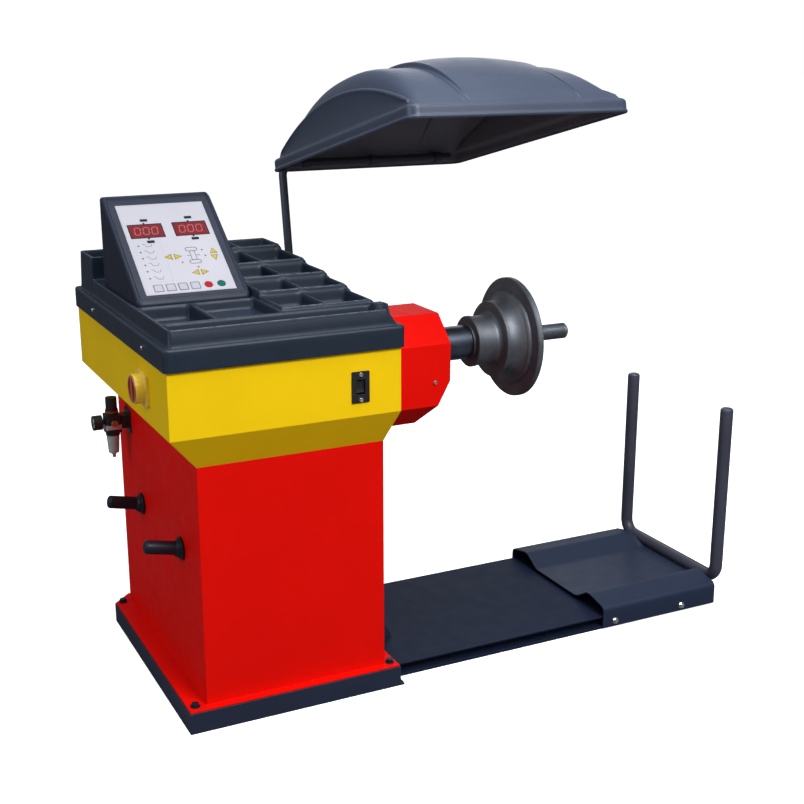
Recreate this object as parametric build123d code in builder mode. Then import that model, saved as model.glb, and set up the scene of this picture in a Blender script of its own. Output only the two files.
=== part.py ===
from build123d import *
import math
import os

# Truck wheel balancer with a pneumatic wheel lift.
# Frame: millimetres, +Z up, origin on the floor under the middle of the cabinet.
# +X points along the spindle, from the cabinet to the wheel; -Y is the operator's side.

os.makedirs("parts", exist_ok=True)

# ------------------------------------------------------------------ driving sizes
SHEET = 3.0                          # folded sheet steel of the cases
RUN = 0.05                           # radial clearance of a running fit
GAP = 0.4                            # clearance between pieces that move apart

BASE_LEFT, BASE_RIGHT = -303.0, 287.0
BASE_HALF_Y = 397.0
BASE_CORNER = 50.0                   # cut-off rear corners
BASE_FLOOR = 5.0
BASE_H = 56.0

CAB_HALF_X = 250.0
CAB_HALF_Y = 370.0
CAB_BOTTOM = 60.0
CAB_TOP = 694.0

HEAD_LEFT, HEAD_RIGHT = -330.0, 270.0
HEAD_FRONT, HEAD_REAR = -432.0, 446.0
HEAD_LOW, HEAD_TOP = 787.0, 961.0

LIP_OUT = 7.0                        # how far the tray's lip stands out over the head
LIP_LOW, LIP_TOP = 953.0, 1008.0
TRAY_INSET = 8.0                     # upper wall of the tray, in from the head's outline
TRAY_TOP = 1049.0
TRAY_WALL = 7.0
POCKET_DEPTH = 32.0

SPINDLE_Y, SPINDLE_Z = -98.0, 858.0
SHAFT_R = 25.0
THREAD_R = 23.0
TUBE_R = 48.5
DISC_R = 172.0
DISC_LEFT, DISC_RIGHT = 779.0, 796.0
SPINDLE_END = 976.0

LIFT_STROKE = 320.0
LIFT_Y = SPINDLE_Y
TRACK_LEFT, TRACK_RIGHT = 301.0, 1384.0
TRACK_HALF_Y = 253.0
TRACK_H = 39.0
CARRIAGE_LEFT, CARRIAGE_RIGHT = 975.0, 1389.0
ROLLER_R = 13.0
ROLLER_Z = 21.5
POST_X, POST_HALF_Y, POST_TOP = 1412.0, 233.0, 622.0
POST_R = 19.5

HOOD_PIVOT_Y, HOOD_PIVOT_Z = 422.0, 890.0
ARM_R = 12.5
HOOD_LEFT, HOOD_RIGHT = 305.0, 950.0
HOOD_DEPTH = 958.0
HOOD_TILT = 12.8                     # front rim above the rear rim, degrees
HOOD_REAR_Y, HOOD_REAR_Z = 522.0, 1294.0
HOOD_SKIN = 4.0
RIM_H = 38.0


# ------------------------------------------------------------------ shared helpers
def block(x0, x1, y0, y1, z0, z1, mode=Mode.ADD):
    """Add or cut a box given by its limits."""
    with Locations(((x0 + x1) / 2, (y0 + y1) / 2, (z0 + z1) / 2)):
        Box(x1 - x0, y1 - y0, z1 - z0, mode=mode)


def bar_x(x0, x1, y, z, radius, mode=Mode.ADD):
    """Add or cut a round bar along X."""
    with Locations(Location(((x0 + x1) / 2, y, z), (0, 90, 0))):
        Cylinder(radius, x1 - x0, mode=mode)


def bar_y(y0, y1, x, z, radius, mode=Mode.ADD):
    """Add or cut a round bar along Y."""
    with Locations(Location((x, (y0 + y1) / 2, z), (90, 0, 0))):
        Cylinder(radius, y1 - y0, mode=mode)


def bar_z(z0, z1, x, y, radius, mode=Mode.ADD):
    """Add or cut a round bar along Z."""
    with Locations((x, y, (z0 + z1) / 2)):
        Cylinder(radius, z1 - z0, mode=mode)


def outline(*points):
    """Draw a closed outline of straight sides in the open sketch."""
    with BuildSketch() as shape:
        with BuildLine():
            Polyline(*points, close=True)
        make_face()
    add(shape.sketch)


def cut_corner_plan(left, right, half_y, corner):
    """Draw a rectangle whose two rear corners are cut off at 45 degrees."""
    outline((left, -half_y), (right, -half_y), (right, half_y - corner), (right - corner, half_y),
            (left + corner, half_y), (left, half_y - corner))


def save(piece, label):
    """Label a finished piece and write it as its own STEP file."""
    piece.part.label = label
    export_step(piece.part, f"parts/{label}.step")


SPINDLE_AXIS = Axis((0, SPINDLE_Y, SPINDLE_Z), (1, 0, 0))
# Local x runs along the spindle and local y is the radius.
SPINDLE_PLANE = Plane(origin=(0, SPINDLE_Y, SPINDLE_Z), x_dir=(1, 0, 0), z_dir=(0, -1, 0))


def turned(points):
    """Turn a closed outline of (position, radius) points about the spindle's axis."""
    with BuildSketch(SPINDLE_PLANE) as profile:
        outline(*points)
    revolve(profile.sketch, axis=SPINDLE_AXIS)


# ------------------------------------------------------------------ base and cabinet
ANCHOR_X, ANCHOR_Y, ANCHOR_R = 215.0, 330.0, 7.0
LIP_X, LIP_T = 11.0, 6.0

with BuildPart() as base_pan:
    with BuildSketch():
        cut_corner_plan(BASE_LEFT, BASE_RIGHT, BASE_HALF_Y, BASE_CORNER)
    extrude(amount=BASE_H)
    with BuildSketch(Plane.XY.offset(BASE_FLOOR)):
        cut_corner_plan(BASE_LEFT + BASE_FLOOR, BASE_RIGHT - BASE_FLOOR, BASE_HALF_Y - BASE_FLOOR,
                        BASE_CORNER - 2)
    extrude(amount=BASE_H, mode=Mode.SUBTRACT)
    block(BASE_RIGHT, BASE_RIGHT + LIP_X, -BASE_HALF_Y, BASE_HALF_Y - BASE_CORNER, 0, LIP_T)
    for x in (-ANCHOR_X, ANCHOR_X):
        for y in (-ANCHOR_Y, ANCHOR_Y):
            bar_z(-1, BASE_FLOOR + 1, x, y, ANCHOR_R, mode=Mode.SUBTRACT)
save(base_pan, "base_pan")

BOLT_LEFT, BOLT_RIGHT, BOLT_Y, BOLT_R = -280.0, 268.0, 366.0, 5.0
BOLT_PLACES = [(x, y) for x in (BOLT_LEFT, BOLT_RIGHT) for y in (-BOLT_Y, BOLT_Y - 26)]
DOOR_HALF_X, DOOR_LOW, DOOR_TOP = 180.0, 110.0, 560.0
SLOT_HALF_Y, SLOT_LOW = 107.0, 66.0
SLOT_TOP = SLOT_LOW + LIFT_STROKE + 84
GLAND_X, GLAND_Z, GLAND_BORE = -215.0, 150.0, 5.0

with BuildPart() as cabinet_shell:
    with BuildSketch(Plane.XY.offset(BASE_H)):
        cut_corner_plan(BASE_LEFT + 3, BASE_RIGHT - 2, BASE_HALF_Y - 3, BASE_CORNER)
    extrude(amount=CAB_BOTTOM - BASE_H)
    block(-CAB_HALF_X, CAB_HALF_X, -CAB_HALF_Y, CAB_HALF_Y, CAB_BOTTOM, CAB_TOP)
    with BuildSketch(Plane.XY.offset(BASE_H)):
        Rectangle(2 * (CAB_HALF_X - SHEET), 2 * (CAB_HALF_Y - SHEET))
    extrude(amount=CAB_TOP, mode=Mode.SUBTRACT)
    block(-DOOR_HALF_X, DOOR_HALF_X, 0, CAB_HALF_Y + 1, DOOR_LOW, DOOR_TOP, mode=Mode.SUBTRACT)
    block(0, CAB_HALF_X + 1, LIFT_Y - SLOT_HALF_Y, LIFT_Y + SLOT_HALF_Y, SLOT_LOW, SLOT_TOP,
          mode=Mode.SUBTRACT)
    bar_y(CAB_HALF_Y - SHEET - 1, CAB_HALF_Y + 1, GLAND_X, GLAND_Z, GLAND_BORE, mode=Mode.SUBTRACT)
    for x, y in BOLT_PLACES:
        bar_z(BASE_H - 1, CAB_BOTTOM + 1, x, y, BOLT_R + 0.5, mode=Mode.SUBTRACT)
save(cabinet_shell, "cabinet_shell")

BOLT_HEAD_R, BOLT_HEAD_H = 10.0, 8.0

with BuildPart() as flange_bolts:
    for x, y in BOLT_PLACES:
        bar_z(BASE_H, CAB_BOTTOM + 2, x, y, BOLT_R)
        bar_z(CAB_BOTTOM, CAB_BOTTOM + 2, x, y, BOLT_HEAD_R + 3)
        with BuildSketch(Plane.XY.offset(CAB_BOTTOM + 2)):
            with Locations((x, y)):
                RegularPolygon(BOLT_HEAD_R, 6)
        extrude(amount=BOLT_HEAD_H)
save(flange_bolts, "flange_bolts")

DOOR_LAP, LOUVRE_COUNT = 15.0, 7
DOOR_SCREW_X = DOOR_HALF_X + 8

with BuildPart() as rear_door:
    block(-DOOR_HALF_X - DOOR_LAP, DOOR_HALF_X + DOOR_LAP, CAB_HALF_Y, CAB_HALF_Y + 2,
          DOOR_LOW - DOOR_LAP, DOOR_TOP + DOOR_LAP)
    for i in range(LOUVRE_COUNT):
        z = DOOR_TOP - 60 - 22 * i
        block(-110, 110, CAB_HALF_Y - 1, CAB_HALF_Y + 3, z, z + 6, mode=Mode.SUBTRACT)
        with BuildSketch(Plane.YZ.offset(-110)):
            outline((CAB_HALF_Y + 2, z + 14), (CAB_HALF_Y + 9, z), (CAB_HALF_Y + 7, z),
                    (CAB_HALF_Y + 2, z + 9))
        extrude(amount=220)
save(rear_door, "rear_door")

# ------------------------------------------------------------------ head
HOOD_HOLE_R = ARM_R + 3
SWITCH_Y, SWITCH_Z = -236.0, 872.0
ROCKER_X, ROCKER_Z = 158.0, 863.0
SWITCH_NECK_R = 26.0
ROCKER_HALF_X, ROCKER_HALF_Z = 16.0, 22.0


def head_body(inset, top):
    """Add the head and its skirt, which tapers down to the cabinet's outline."""
    with BuildSketch(Plane.XY.offset(CAB_TOP)) as foot:
        Rectangle(2 * (CAB_HALF_X - inset), 2 * (CAB_HALF_Y - inset))
    with BuildSketch(Plane.XY.offset(HEAD_LOW)) as fold:
        with Locations(((HEAD_LEFT + HEAD_RIGHT) / 2, (HEAD_FRONT + HEAD_REAR) / 2)):
            Rectangle(HEAD_RIGHT - HEAD_LEFT - 2 * inset, HEAD_REAR - HEAD_FRONT - 2 * inset)
    loft([foot.sketch, fold.sketch])
    extrude(fold.sketch, amount=top - HEAD_LOW)


with BuildPart() as head_space:
    head_body(SHEET, HEAD_TOP + 1)

with BuildPart() as head_shell:
    head_body(0, HEAD_TOP)
    add(head_space.part, mode=Mode.SUBTRACT)
    bar_x(HEAD_RIGHT - 10, HEAD_RIGHT + 1, SPINDLE_Y, SPINDLE_Z, TUBE_R + 6, mode=Mode.SUBTRACT)
    bar_x(HEAD_RIGHT - 10, HEAD_RIGHT + 1, HOOD_PIVOT_Y, HOOD_PIVOT_Z, HOOD_HOLE_R, mode=Mode.SUBTRACT)
    bar_x(HEAD_LEFT - 1, HEAD_LEFT + 10, SWITCH_Y, SWITCH_Z, SWITCH_NECK_R, mode=Mode.SUBTRACT)
    block(ROCKER_X - ROCKER_HALF_X, ROCKER_X + ROCKER_HALF_X, HEAD_FRONT - 1, HEAD_FRONT + 10,
          ROCKER_Z - ROCKER_HALF_Z, ROCKER_Z + ROCKER_HALF_Z, mode=Mode.SUBTRACT)
save(head_shell, "head_shell")

# ------------------------------------------------------------------ weight tray
TRAY_LEFT, TRAY_RIGHT = HEAD_LEFT + TRAY_INSET, HEAD_RIGHT - 4
TRAY_FRONT, TRAY_REAR = HEAD_FRONT + TRAY_INSET - 3, HEAD_REAR - TRAY_INSET
ROW_LINES = (-328.0, -172.0, -38.0, 112.0, 300.0)     # ribs between the rows, front to rear
ROW_TOPS = (1059.0, 1072.0, 1085.0, 1098.0, 1111.0)   # each row stands higher than the last
ROW_LEFT = -4.0
DIVIDER_X = 112.0
RIB = 4.5                                             # half of a rib's thickness
CONSOLE_LEFT, CONSOLE_RIGHT = -307.0, -9.0
CONSOLE_FRONT, CONSOLE_REAR = -126.0, 214.0
CONSOLE_FLOOR = 1040.0
SLOPE_WIDTH = 30.0                                    # slanted right-hand wall
TROUGH_FRONT, TROUGH_REAR = TRAY_FRONT + 12, -350.0


def pocket(x0, x1, y0, y1, floor, top):
    """Cut a weight pocket with rounded corners."""
    with BuildSketch(Plane.XY.offset(floor)) as plan:
        with Locations(((x0 + x1) / 2, (y0 + y1) / 2)):
            RectangleRounded(x1 - x0, y1 - y0, 8)
    extrude(plan.sketch, amount=top - floor + 5, mode=Mode.SUBTRACT)


with BuildPart() as weight_tray:
    block(HEAD_LEFT - LIP_OUT, HEAD_RIGHT + LIP_OUT + 4, HEAD_FRONT - LIP_OUT, HEAD_REAR + LIP_OUT,
          LIP_LOW, LIP_TOP)
    fillet(weight_tray.edges().filter_by(Axis.Z), 12)
    with BuildSketch(Plane.XY.offset(LIP_TOP)):
        with Locations(((TRAY_LEFT + TRAY_RIGHT) / 2, (TRAY_FRONT + TRAY_REAR) / 2)):
            RectangleRounded(TRAY_RIGHT - TRAY_LEFT, TRAY_REAR - TRAY_FRONT, 12)
    extrude(amount=TRAY_TOP - LIP_TOP, taper=4)
    # terraces of the rows, rising to the rear
    for line, top in zip(ROW_LINES, ROW_TOPS):
        block(ROW_LEFT, TRAY_RIGHT - 4, line, TRAY_REAR - 4, TRAY_TOP - 2, top)
    block(TRAY_LEFT + 4, ROW_LEFT, ROW_LINES[-1], TRAY_REAR - 4, TRAY_TOP - 2, ROW_TOPS[-1])
    # slanted wall on the right, following the terraces up
    right_lines = (TRAY_FRONT - 1,) + ROW_LINES + (TRAY_REAR + 1,)
    right_tops = (TRAY_TOP,) + ROW_TOPS
    for near, far, top in zip(right_lines, right_lines[1:], right_tops):
        with BuildSketch(Plane.XZ.offset(-near)):
            outline((TRAY_RIGHT + 1, LIP_TOP), (TRAY_RIGHT + 1, top + 1), (TRAY_RIGHT - SLOPE_WIDTH, top + 1))
        extrude(amount=near - far, mode=Mode.SUBTRACT)
    # underside: open over the head and hollow below the pockets
    block(HEAD_LEFT, HEAD_RIGHT, HEAD_FRONT, HEAD_REAR, LIP_LOW - 1, HEAD_TOP, mode=Mode.SUBTRACT)
    block(HEAD_LEFT + 12, HEAD_RIGHT - 40, HEAD_FRONT + 16, HEAD_REAR - 20, HEAD_TOP - 1, 1005,
          mode=Mode.SUBTRACT)
    # front trough, the deep left pocket and the row beside it
    pocket(TRAY_LEFT + 12, TRAY_RIGHT - SLOPE_WIDTH - 12, TROUGH_FRONT, TROUGH_REAR, 1024, TRAY_TOP)
    pocket(TRAY_LEFT + 14, -180, ROW_LINES[0] - 8, CONSOLE_FRONT - 12, 1012, TRAY_TOP)
    pocket(-168, ROW_LEFT - 6, ROW_LINES[0] - 8, CONSOLE_FRONT - 12, 1022, TRAY_TOP)
    block(CONSOLE_LEFT, CONSOLE_RIGHT, CONSOLE_FRONT, CONSOLE_REAR, CONSOLE_FLOOR, TRAY_TOP + 1,
          mode=Mode.SUBTRACT)
    block(CONSOLE_LEFT + 6, CONSOLE_RIGHT - 6, CONSOLE_FRONT + 6, ROW_LINES[-1] - 8, 1030,
          TRAY_TOP + 1, mode=Mode.SUBTRACT)
    # pockets of the rows, two across, with the same wall thickness left under them
    row_ends = ROW_LINES[1:] + (TRAY_REAR - 8,)
    for near, far, top in zip(ROW_LINES, row_ends, ROW_TOPS):
        block(ROW_LEFT + 12, TRAY_RIGHT - SLOPE_WIDTH - 12, near - 3, far - 8, 1000,
              top - POCKET_DEPTH - TRAY_WALL, mode=Mode.SUBTRACT)
        for x0, x1 in ((ROW_LEFT + 8, DIVIDER_X - RIB), (DIVIDER_X + RIB, TRAY_RIGHT - SLOPE_WIDTH - 8)):
            pocket(x0, x1, near + RIB, far - RIB, top - POCKET_DEPTH, top)
    pocket(TRAY_LEFT + 14, ROW_LEFT - 4, ROW_LINES[-1] + 8, TRAY_REAR - 12,
           ROW_TOPS[-1] - POCKET_DEPTH, ROW_TOPS[-1])
    block(TRAY_LEFT + 18, ROW_LEFT - 8, ROW_LINES[-1] + 2, TRAY_REAR - 16, 1000,
          ROW_TOPS[-1] - POCKET_DEPTH - TRAY_WALL, mode=Mode.SUBTRACT)
    block(CONSOLE_LEFT + 6, ROW_LEFT - 8, CONSOLE_FRONT, ROW_LINES[-1] - 8, 1000, 1023, mode=Mode.SUBTRACT)
    # moulded lug at the right front corner
    with Locations(((TRAY_RIGHT - 34, -372, TRAY_TOP - 2))):
        Box(26, 30, 22)
save(weight_tray, "weight_tray")

# ------------------------------------------------------------------ console
CONSOLE_TOP_Y, CONSOLE_TOP = 192.0, 1283.0
CONSOLE_NOSE = 1055.0
CONSOLE_SKIN = 4.0
SLOPE = math.degrees(math.atan2(CONSOLE_TOP - CONSOLE_NOSE, CONSOLE_TOP_Y - CONSOLE_FRONT))
# Local x runs to the right and local y runs up the slope from its lower edge.
FACE_X = (CONSOLE_LEFT + CONSOLE_RIGHT) / 2
FACE = Plane(origin=(FACE_X, CONSOLE_FRONT, CONSOLE_NOSE), x_dir=(1, 0, 0),
             z_dir=(0, -math.sin(math.radians(SLOPE)), math.cos(math.radians(SLOPE))))
PANEL_HALF_X, PANEL_LOW, PANEL_HIGH = 119.0, 28.0, 360.0
PANEL_DEPTH, PANEL_T = 1.6, 1.4
KEY_ROW = 50.0
KEYS = {"key_a": (-82.0, 10.0), "key_b": (-49.5, 10.0), "key_c": (-17.5, 10.0), "key_d": (14.5, 10.0)}
ROUND_KEYS = {"key_stop": (49.5, 11.0), "key_start": (84.0, 11.0)}
WINDOW_X, WINDOW_Y, WINDOW_HALF_X, WINDOW_HALF_Y = 60.0, 258.5, 43.5, 23.5


def console_profile(inset):
    """Draw the console's side view."""
    outline((CONSOLE_FRONT + inset, CONSOLE_FLOOR - inset / 4),
            (CONSOLE_FRONT + inset, CONSOLE_NOSE - inset / 2),
            (CONSOLE_TOP_Y + inset / 2, CONSOLE_TOP - 1.6 * inset),
            (CONSOLE_REAR - inset, CONSOLE_TOP - 1.6 * inset),
            (CONSOLE_REAR - inset, CONSOLE_FLOOR - inset / 4))


with BuildPart() as console_housing:
    with BuildSketch(Plane.YZ.offset(CONSOLE_LEFT)):
        console_profile(0)
    extrude(amount=CONSOLE_RIGHT - CONSOLE_LEFT)
    fillet(console_housing.edges().filter_by_position(Axis.Z, CONSOLE_FLOOR + 1, CONSOLE_TOP + 1), 8)
    with BuildSketch(Plane.YZ.offset(CONSOLE_LEFT + CONSOLE_SKIN)):
        console_profile(CONSOLE_SKIN + 1)
    extrude(amount=CONSOLE_RIGHT - CONSOLE_LEFT - 2 * CONSOLE_SKIN, mode=Mode.SUBTRACT)
    with BuildSketch(FACE.offset(-PANEL_DEPTH)):
        with Locations((0, (PANEL_LOW + PANEL_HIGH) / 2)):
            Rectangle(2 * PANEL_HALF_X, PANEL_HIGH - PANEL_LOW)
    extrude(amount=PANEL_DEPTH + 2, mode=Mode.SUBTRACT)
    with BuildSketch(FACE.offset(-14)):
        with Locations((0, KEY_ROW)):
            Rectangle(206, 30)
        with Locations((-WINDOW_X, WINDOW_Y), (WINDOW_X, WINDOW_Y)):
            Rectangle(2 * WINDOW_HALF_X - 6, 2 * WINDOW_HALF_Y - 6)
    extrude(amount=16, mode=Mode.SUBTRACT)
save(console_housing, "console_housing")

with BuildPart() as console_panel:
    with BuildSketch(FACE.offset(-PANEL_DEPTH)):
        with Locations((0, (PANEL_LOW + PANEL_HIGH) / 2)):
            Rectangle(2 * PANEL_HALF_X - 0.6, PANEL_HIGH - PANEL_LOW - 0.6)
        with Locations((-WINDOW_X, WINDOW_Y), (WINDOW_X, WINDOW_Y)):
            Rectangle(2 * WINDOW_HALF_X, 2 * WINDOW_HALF_Y, mode=Mode.SUBTRACT)
        for x, half in KEYS.values():
            with Locations((x, KEY_ROW)):
                Rectangle(2 * half + 2 * GAP, 2 * half + 2 * GAP, mode=Mode.SUBTRACT)
        for x, radius in ROUND_KEYS.values():
            with Locations((x, KEY_ROW)):
                Circle(radius + GAP, mode=Mode.SUBTRACT)
    extrude(amount=PANEL_T)
save(console_panel, "console_panel")

with BuildPart() as display_windows:
    with BuildSketch(FACE.offset(-PANEL_DEPTH)):
        with Locations((-WINDOW_X, WINDOW_Y), (WINDOW_X, WINDOW_Y)):
            Rectangle(2 * WINDOW_HALF_X - 0.4, 2 * WINDOW_HALF_Y - 0.4)
    extrude(amount=PANEL_T)
save(display_windows, "display_windows")

with BuildPart() as display_board:
    with BuildSketch(FACE.offset(-22)):
        with Locations((0, 180)):
            Rectangle(220, 300)
    extrude(amount=1.6)
    with BuildSketch(FACE.offset(-20.4)):
        with Locations((-WINDOW_X, WINDOW_Y), (WINDOW_X, WINDOW_Y)):
            Rectangle(70, 28)
    extrude(amount=8)
save(display_board, "display_board")

KEY_CAP_T, KEY_STEM = 1.7, 17.6

for name, (x, half) in KEYS.items():
    with BuildPart() as key:
        with BuildSketch(FACE.offset(-PANEL_DEPTH)):
            with Locations((x, KEY_ROW)):
                Rectangle(2 * half, 2 * half)
        extrude(amount=KEY_CAP_T)
        with BuildSketch(FACE.offset(-PANEL_DEPTH)):
            with Locations((x, KEY_ROW)):
                Circle(3)
        extrude(amount=-KEY_STEM)
    save(key, name)

for name, (x, radius) in ROUND_KEYS.items():
    with BuildPart() as key:
        with BuildSketch(FACE.offset(-PANEL_DEPTH)):
            with Locations((x, KEY_ROW)):
                Circle(radius)
        extrude(amount=KEY_CAP_T)
        with BuildSketch(FACE.offset(-PANEL_DEPTH)):
            with Locations((x, KEY_ROW)):
                Circle(3)
        extrude(amount=-KEY_STEM)
    save(key, name)

# ------------------------------------------------------------------ switches
PLATE_HALF, PLATE_T = 41.0, 8.0
KNOB_OUT, KNOB_R = 34.0, 33.0

with BuildPart() as main_switch_body:
    with BuildSketch(Plane(origin=(HEAD_LEFT, SWITCH_Y, SWITCH_Z), x_dir=(0, -1, 0), z_dir=(-1, 0, 0))):
        RectangleRounded(2 * PLATE_HALF, 2 * PLATE_HALF, 8)
    extrude(amount=PLATE_T)
    bar_x(HEAD_LEFT - KNOB_OUT + 3, HEAD_LEFT - PLATE_T, SWITCH_Y, SWITCH_Z, KNOB_R + 4)
    bar_x(HEAD_LEFT, HEAD_LEFT + 42, SWITCH_Y, SWITCH_Z, SWITCH_NECK_R - 0.5)
    bar_x(HEAD_LEFT - KNOB_OUT, HEAD_LEFT - 14, SWITCH_Y, SWITCH_Z, KNOB_R + GAP, mode=Mode.SUBTRACT)
    bar_x(HEAD_LEFT - 14, HEAD_LEFT + 20, SWITCH_Y, SWITCH_Z, 8 + RUN, mode=Mode.SUBTRACT)
save(main_switch_body, "main_switch_body")

with BuildPart() as main_switch_knob:
    bar_x(HEAD_LEFT - KNOB_OUT + 1, HEAD_LEFT - 14 - GAP, SWITCH_Y, SWITCH_Z, KNOB_R)
    bar_x(HEAD_LEFT - 15, HEAD_LEFT + 18, SWITCH_Y, SWITCH_Z, 8)
    bar_x(HEAD_LEFT - KNOB_OUT, HEAD_LEFT - KNOB_OUT + 9, SWITCH_Y, SWITCH_Z, KNOB_R - 5,
          mode=Mode.SUBTRACT)
    block(HEAD_LEFT - KNOB_OUT + 1, HEAD_LEFT - KNOB_OUT + 9, SWITCH_Y - 7, SWITCH_Y + 7,
          SWITCH_Z - KNOB_R + 3, SWITCH_Z + KNOB_R - 3)
save(main_switch_knob, "main_switch_knob")

ROCKER_HALF_T, ROCKER_FACE_Z = 11.0, 15.0
PIVOT_Y, PIVOT_R = HEAD_FRONT + 12, 2.0

with BuildPart() as lift_switch_plate:
    with BuildSketch(Plane(origin=(ROCKER_X, HEAD_FRONT, ROCKER_Z), x_dir=(1, 0, 0), z_dir=(0, -1, 0))):
        RectangleRounded(48, 80, 3)
    extrude(amount=3)
    block(ROCKER_X - 15.5, ROCKER_X + 15.5, HEAD_FRONT, HEAD_FRONT + 30, ROCKER_Z - 21.5, ROCKER_Z + 21.5)
    block(ROCKER_X - 12, ROCKER_X + 12, HEAD_FRONT - 4, HEAD_FRONT + 27, ROCKER_Z - 19, ROCKER_Z + 19,
          mode=Mode.SUBTRACT)
    for z in (ROCKER_Z - 32, ROCKER_Z + 32):
        bar_y(HEAD_FRONT - 4, HEAD_FRONT + 1, ROCKER_X, z, 2.2, mode=Mode.SUBTRACT)
    bar_x(ROCKER_X - 16, ROCKER_X + 16, PIVOT_Y, ROCKER_Z, PIVOT_R + RUN, mode=Mode.SUBTRACT)
save(lift_switch_plate, "lift_switch_plate")

with BuildPart() as lift_rocker:
    with BuildSketch(Plane.YZ.offset(ROCKER_X - ROCKER_HALF_T)):
        with BuildLine():
            front_low = (HEAD_FRONT + 1.5, ROCKER_Z - ROCKER_FACE_Z)
            front_high = (HEAD_FRONT + 1.5, ROCKER_Z + ROCKER_FACE_Z)
            ThreePointArc(front_low, (HEAD_FRONT + 3.5, ROCKER_Z), front_high)
            Polyline(front_high, (HEAD_FRONT + 14, ROCKER_Z + 9), (HEAD_FRONT + 20, ROCKER_Z),
                     (HEAD_FRONT + 14, ROCKER_Z - 9), front_low)
        make_face()
    extrude(amount=2 * ROCKER_HALF_T)
    bar_x(ROCKER_X - 15, ROCKER_X + 15, PIVOT_Y, ROCKER_Z, PIVOT_R)
save(lift_rocker, "lift_rocker")

# ------------------------------------------------------------------ storage pegs
PEG_Z, PEG_TILT = 430.0, 12.0
PEG_PLACES = {"storage_peg_rear": 157.0, "storage_peg_front": -212.0}
PEG_R, PEG_LENGTH = 18.0, 98.0
COLLAR_R, COLLAR_LENGTH = 24.0, 15.0
PEG_PLATE_R, PEG_PLATE_T = 30.0, 8.0

for name, y in PEG_PLACES.items():
    with BuildPart() as peg:
        bar_x(-CAB_HALF_X - PEG_PLATE_T, -CAB_HALF_X, y, PEG_Z, PEG_PLATE_R)
        peg_axis = Plane(origin=(-CAB_HALF_X - 2, y, PEG_Z),
                         z_dir=(-math.cos(math.radians(PEG_TILT)), 0, math.sin(math.radians(PEG_TILT))))
        with BuildSketch(peg_axis):
            Circle(PEG_R)
        extrude(amount=PEG_LENGTH)
        fillet(peg.edges().filter_by(GeomType.CIRCLE).sort_by(Axis.X)[0], 2)
        with BuildSketch(peg_axis):
            Circle(COLLAR_R)
        extrude(amount=COLLAR_LENGTH)
        block(-CAB_HALF_X, -CAB_HALF_X + 20, y - 40, y + 40, PEG_Z - 40, PEG_Z + 40, mode=Mode.SUBTRACT)
    save(peg, name)

# ------------------------------------------------------------------ air filter regulator
REG_X, REG_Y = -297.0, 262.0
REG_LOW, REG_TOP = 620.0, 671.0
GAUGE_Z, GAUGE_R = 650.0, 21.0
GAUGE_RIGHT, GAUGE_LEFT = -327.0, -352.0

with BuildPart() as regulator_body:
    block(REG_X - 22, REG_X + 22, REG_Y - 22, REG_Y + 22, REG_LOW, REG_TOP)
    fillet(regulator_body.edges().filter_by(Axis.Z), 5)
    block(REG_X + 22, -CAB_HALF_X - 4, REG_Y - 18, REG_Y + 18, REG_LOW + 10, REG_TOP - 4)
    block(-CAB_HALF_X - 4, -CAB_HALF_X, REG_Y - 30, REG_Y + 30, REG_LOW - 4, REG_TOP + 10)
    bar_z(REG_TOP, REG_TOP + 16, REG_X, REG_Y, 17.5)
    bar_z(REG_TOP, REG_TOP + 17, REG_X, REG_Y, 6 + RUN, mode=Mode.SUBTRACT)
    bar_z(REG_LOW - 9, REG_LOW, REG_X, REG_Y, 20)
save(regulator_body, "regulator_body")

with BuildPart() as regulator_knob:
    bar_z(REG_TOP + 16 + GAP, 720, REG_X, REG_Y, 16)
    bar_z(REG_TOP + 2, REG_TOP + 18, REG_X, REG_Y, 6)
    for i in range(18):
        turn = math.radians(20 * i)
        bar_z(REG_TOP + 22, 721, REG_X + 17 * math.cos(turn), REG_Y + 17 * math.sin(turn), 1.6,
              mode=Mode.SUBTRACT)
save(regulator_knob, "regulator_knob")

with BuildPart() as gauge_case:
    bar_x(GAUGE_LEFT, GAUGE_RIGHT, REG_Y, GAUGE_Z, GAUGE_R)
    bar_x(GAUGE_RIGHT, REG_X - 22, REG_Y, GAUGE_Z, 7)
    bar_x(GAUGE_LEFT - 1, GAUGE_LEFT + 5, REG_Y, GAUGE_Z, GAUGE_R - 2.5, mode=Mode.SUBTRACT)
    bar_x(GAUGE_LEFT + 4, GAUGE_LEFT + 9, REG_Y, GAUGE_Z, 1.5 + 2 * RUN, mode=Mode.SUBTRACT)
save(gauge_case, "gauge_case")

NEEDLE_REST = 135.0                  # the needle points down to the left at no pressure

with BuildPart() as gauge_needle:
    bar_x(GAUGE_LEFT + 2.5, GAUGE_LEFT + 8, REG_Y, GAUGE_Z, 1.5)
    bar_x(GAUGE_LEFT + 2.5, GAUGE_LEFT + 4, REG_Y, GAUGE_Z, 3)
    needle_plane = Plane(origin=(GAUGE_LEFT + 4, REG_Y, GAUGE_Z), x_dir=(0, -1, 0), z_dir=(-1, 0, 0))
    with BuildSketch(needle_plane):
        with Locations(Location((0, 0), NEEDLE_REST)):
            Polygon((1, -4), (0.4, 15), (-0.4, 15), (-1, -4), align=None)
    extrude(amount=1)
save(gauge_needle, "gauge_needle")

with BuildPart() as filter_bowl:
    with BuildSketch(Plane.XY.offset(REG_LOW - 9)):
        with Locations((REG_X, REG_Y)):
            Circle(18.5)
    extrude(amount=-52, taper=4)
    with BuildSketch(Plane.XY.offset(REG_LOW - 9)):
        with Locations((REG_X, REG_Y)):
            Circle(16)
    extrude(amount=-48, taper=4, mode=Mode.SUBTRACT)
save(filter_bowl, "filter_bowl")

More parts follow.
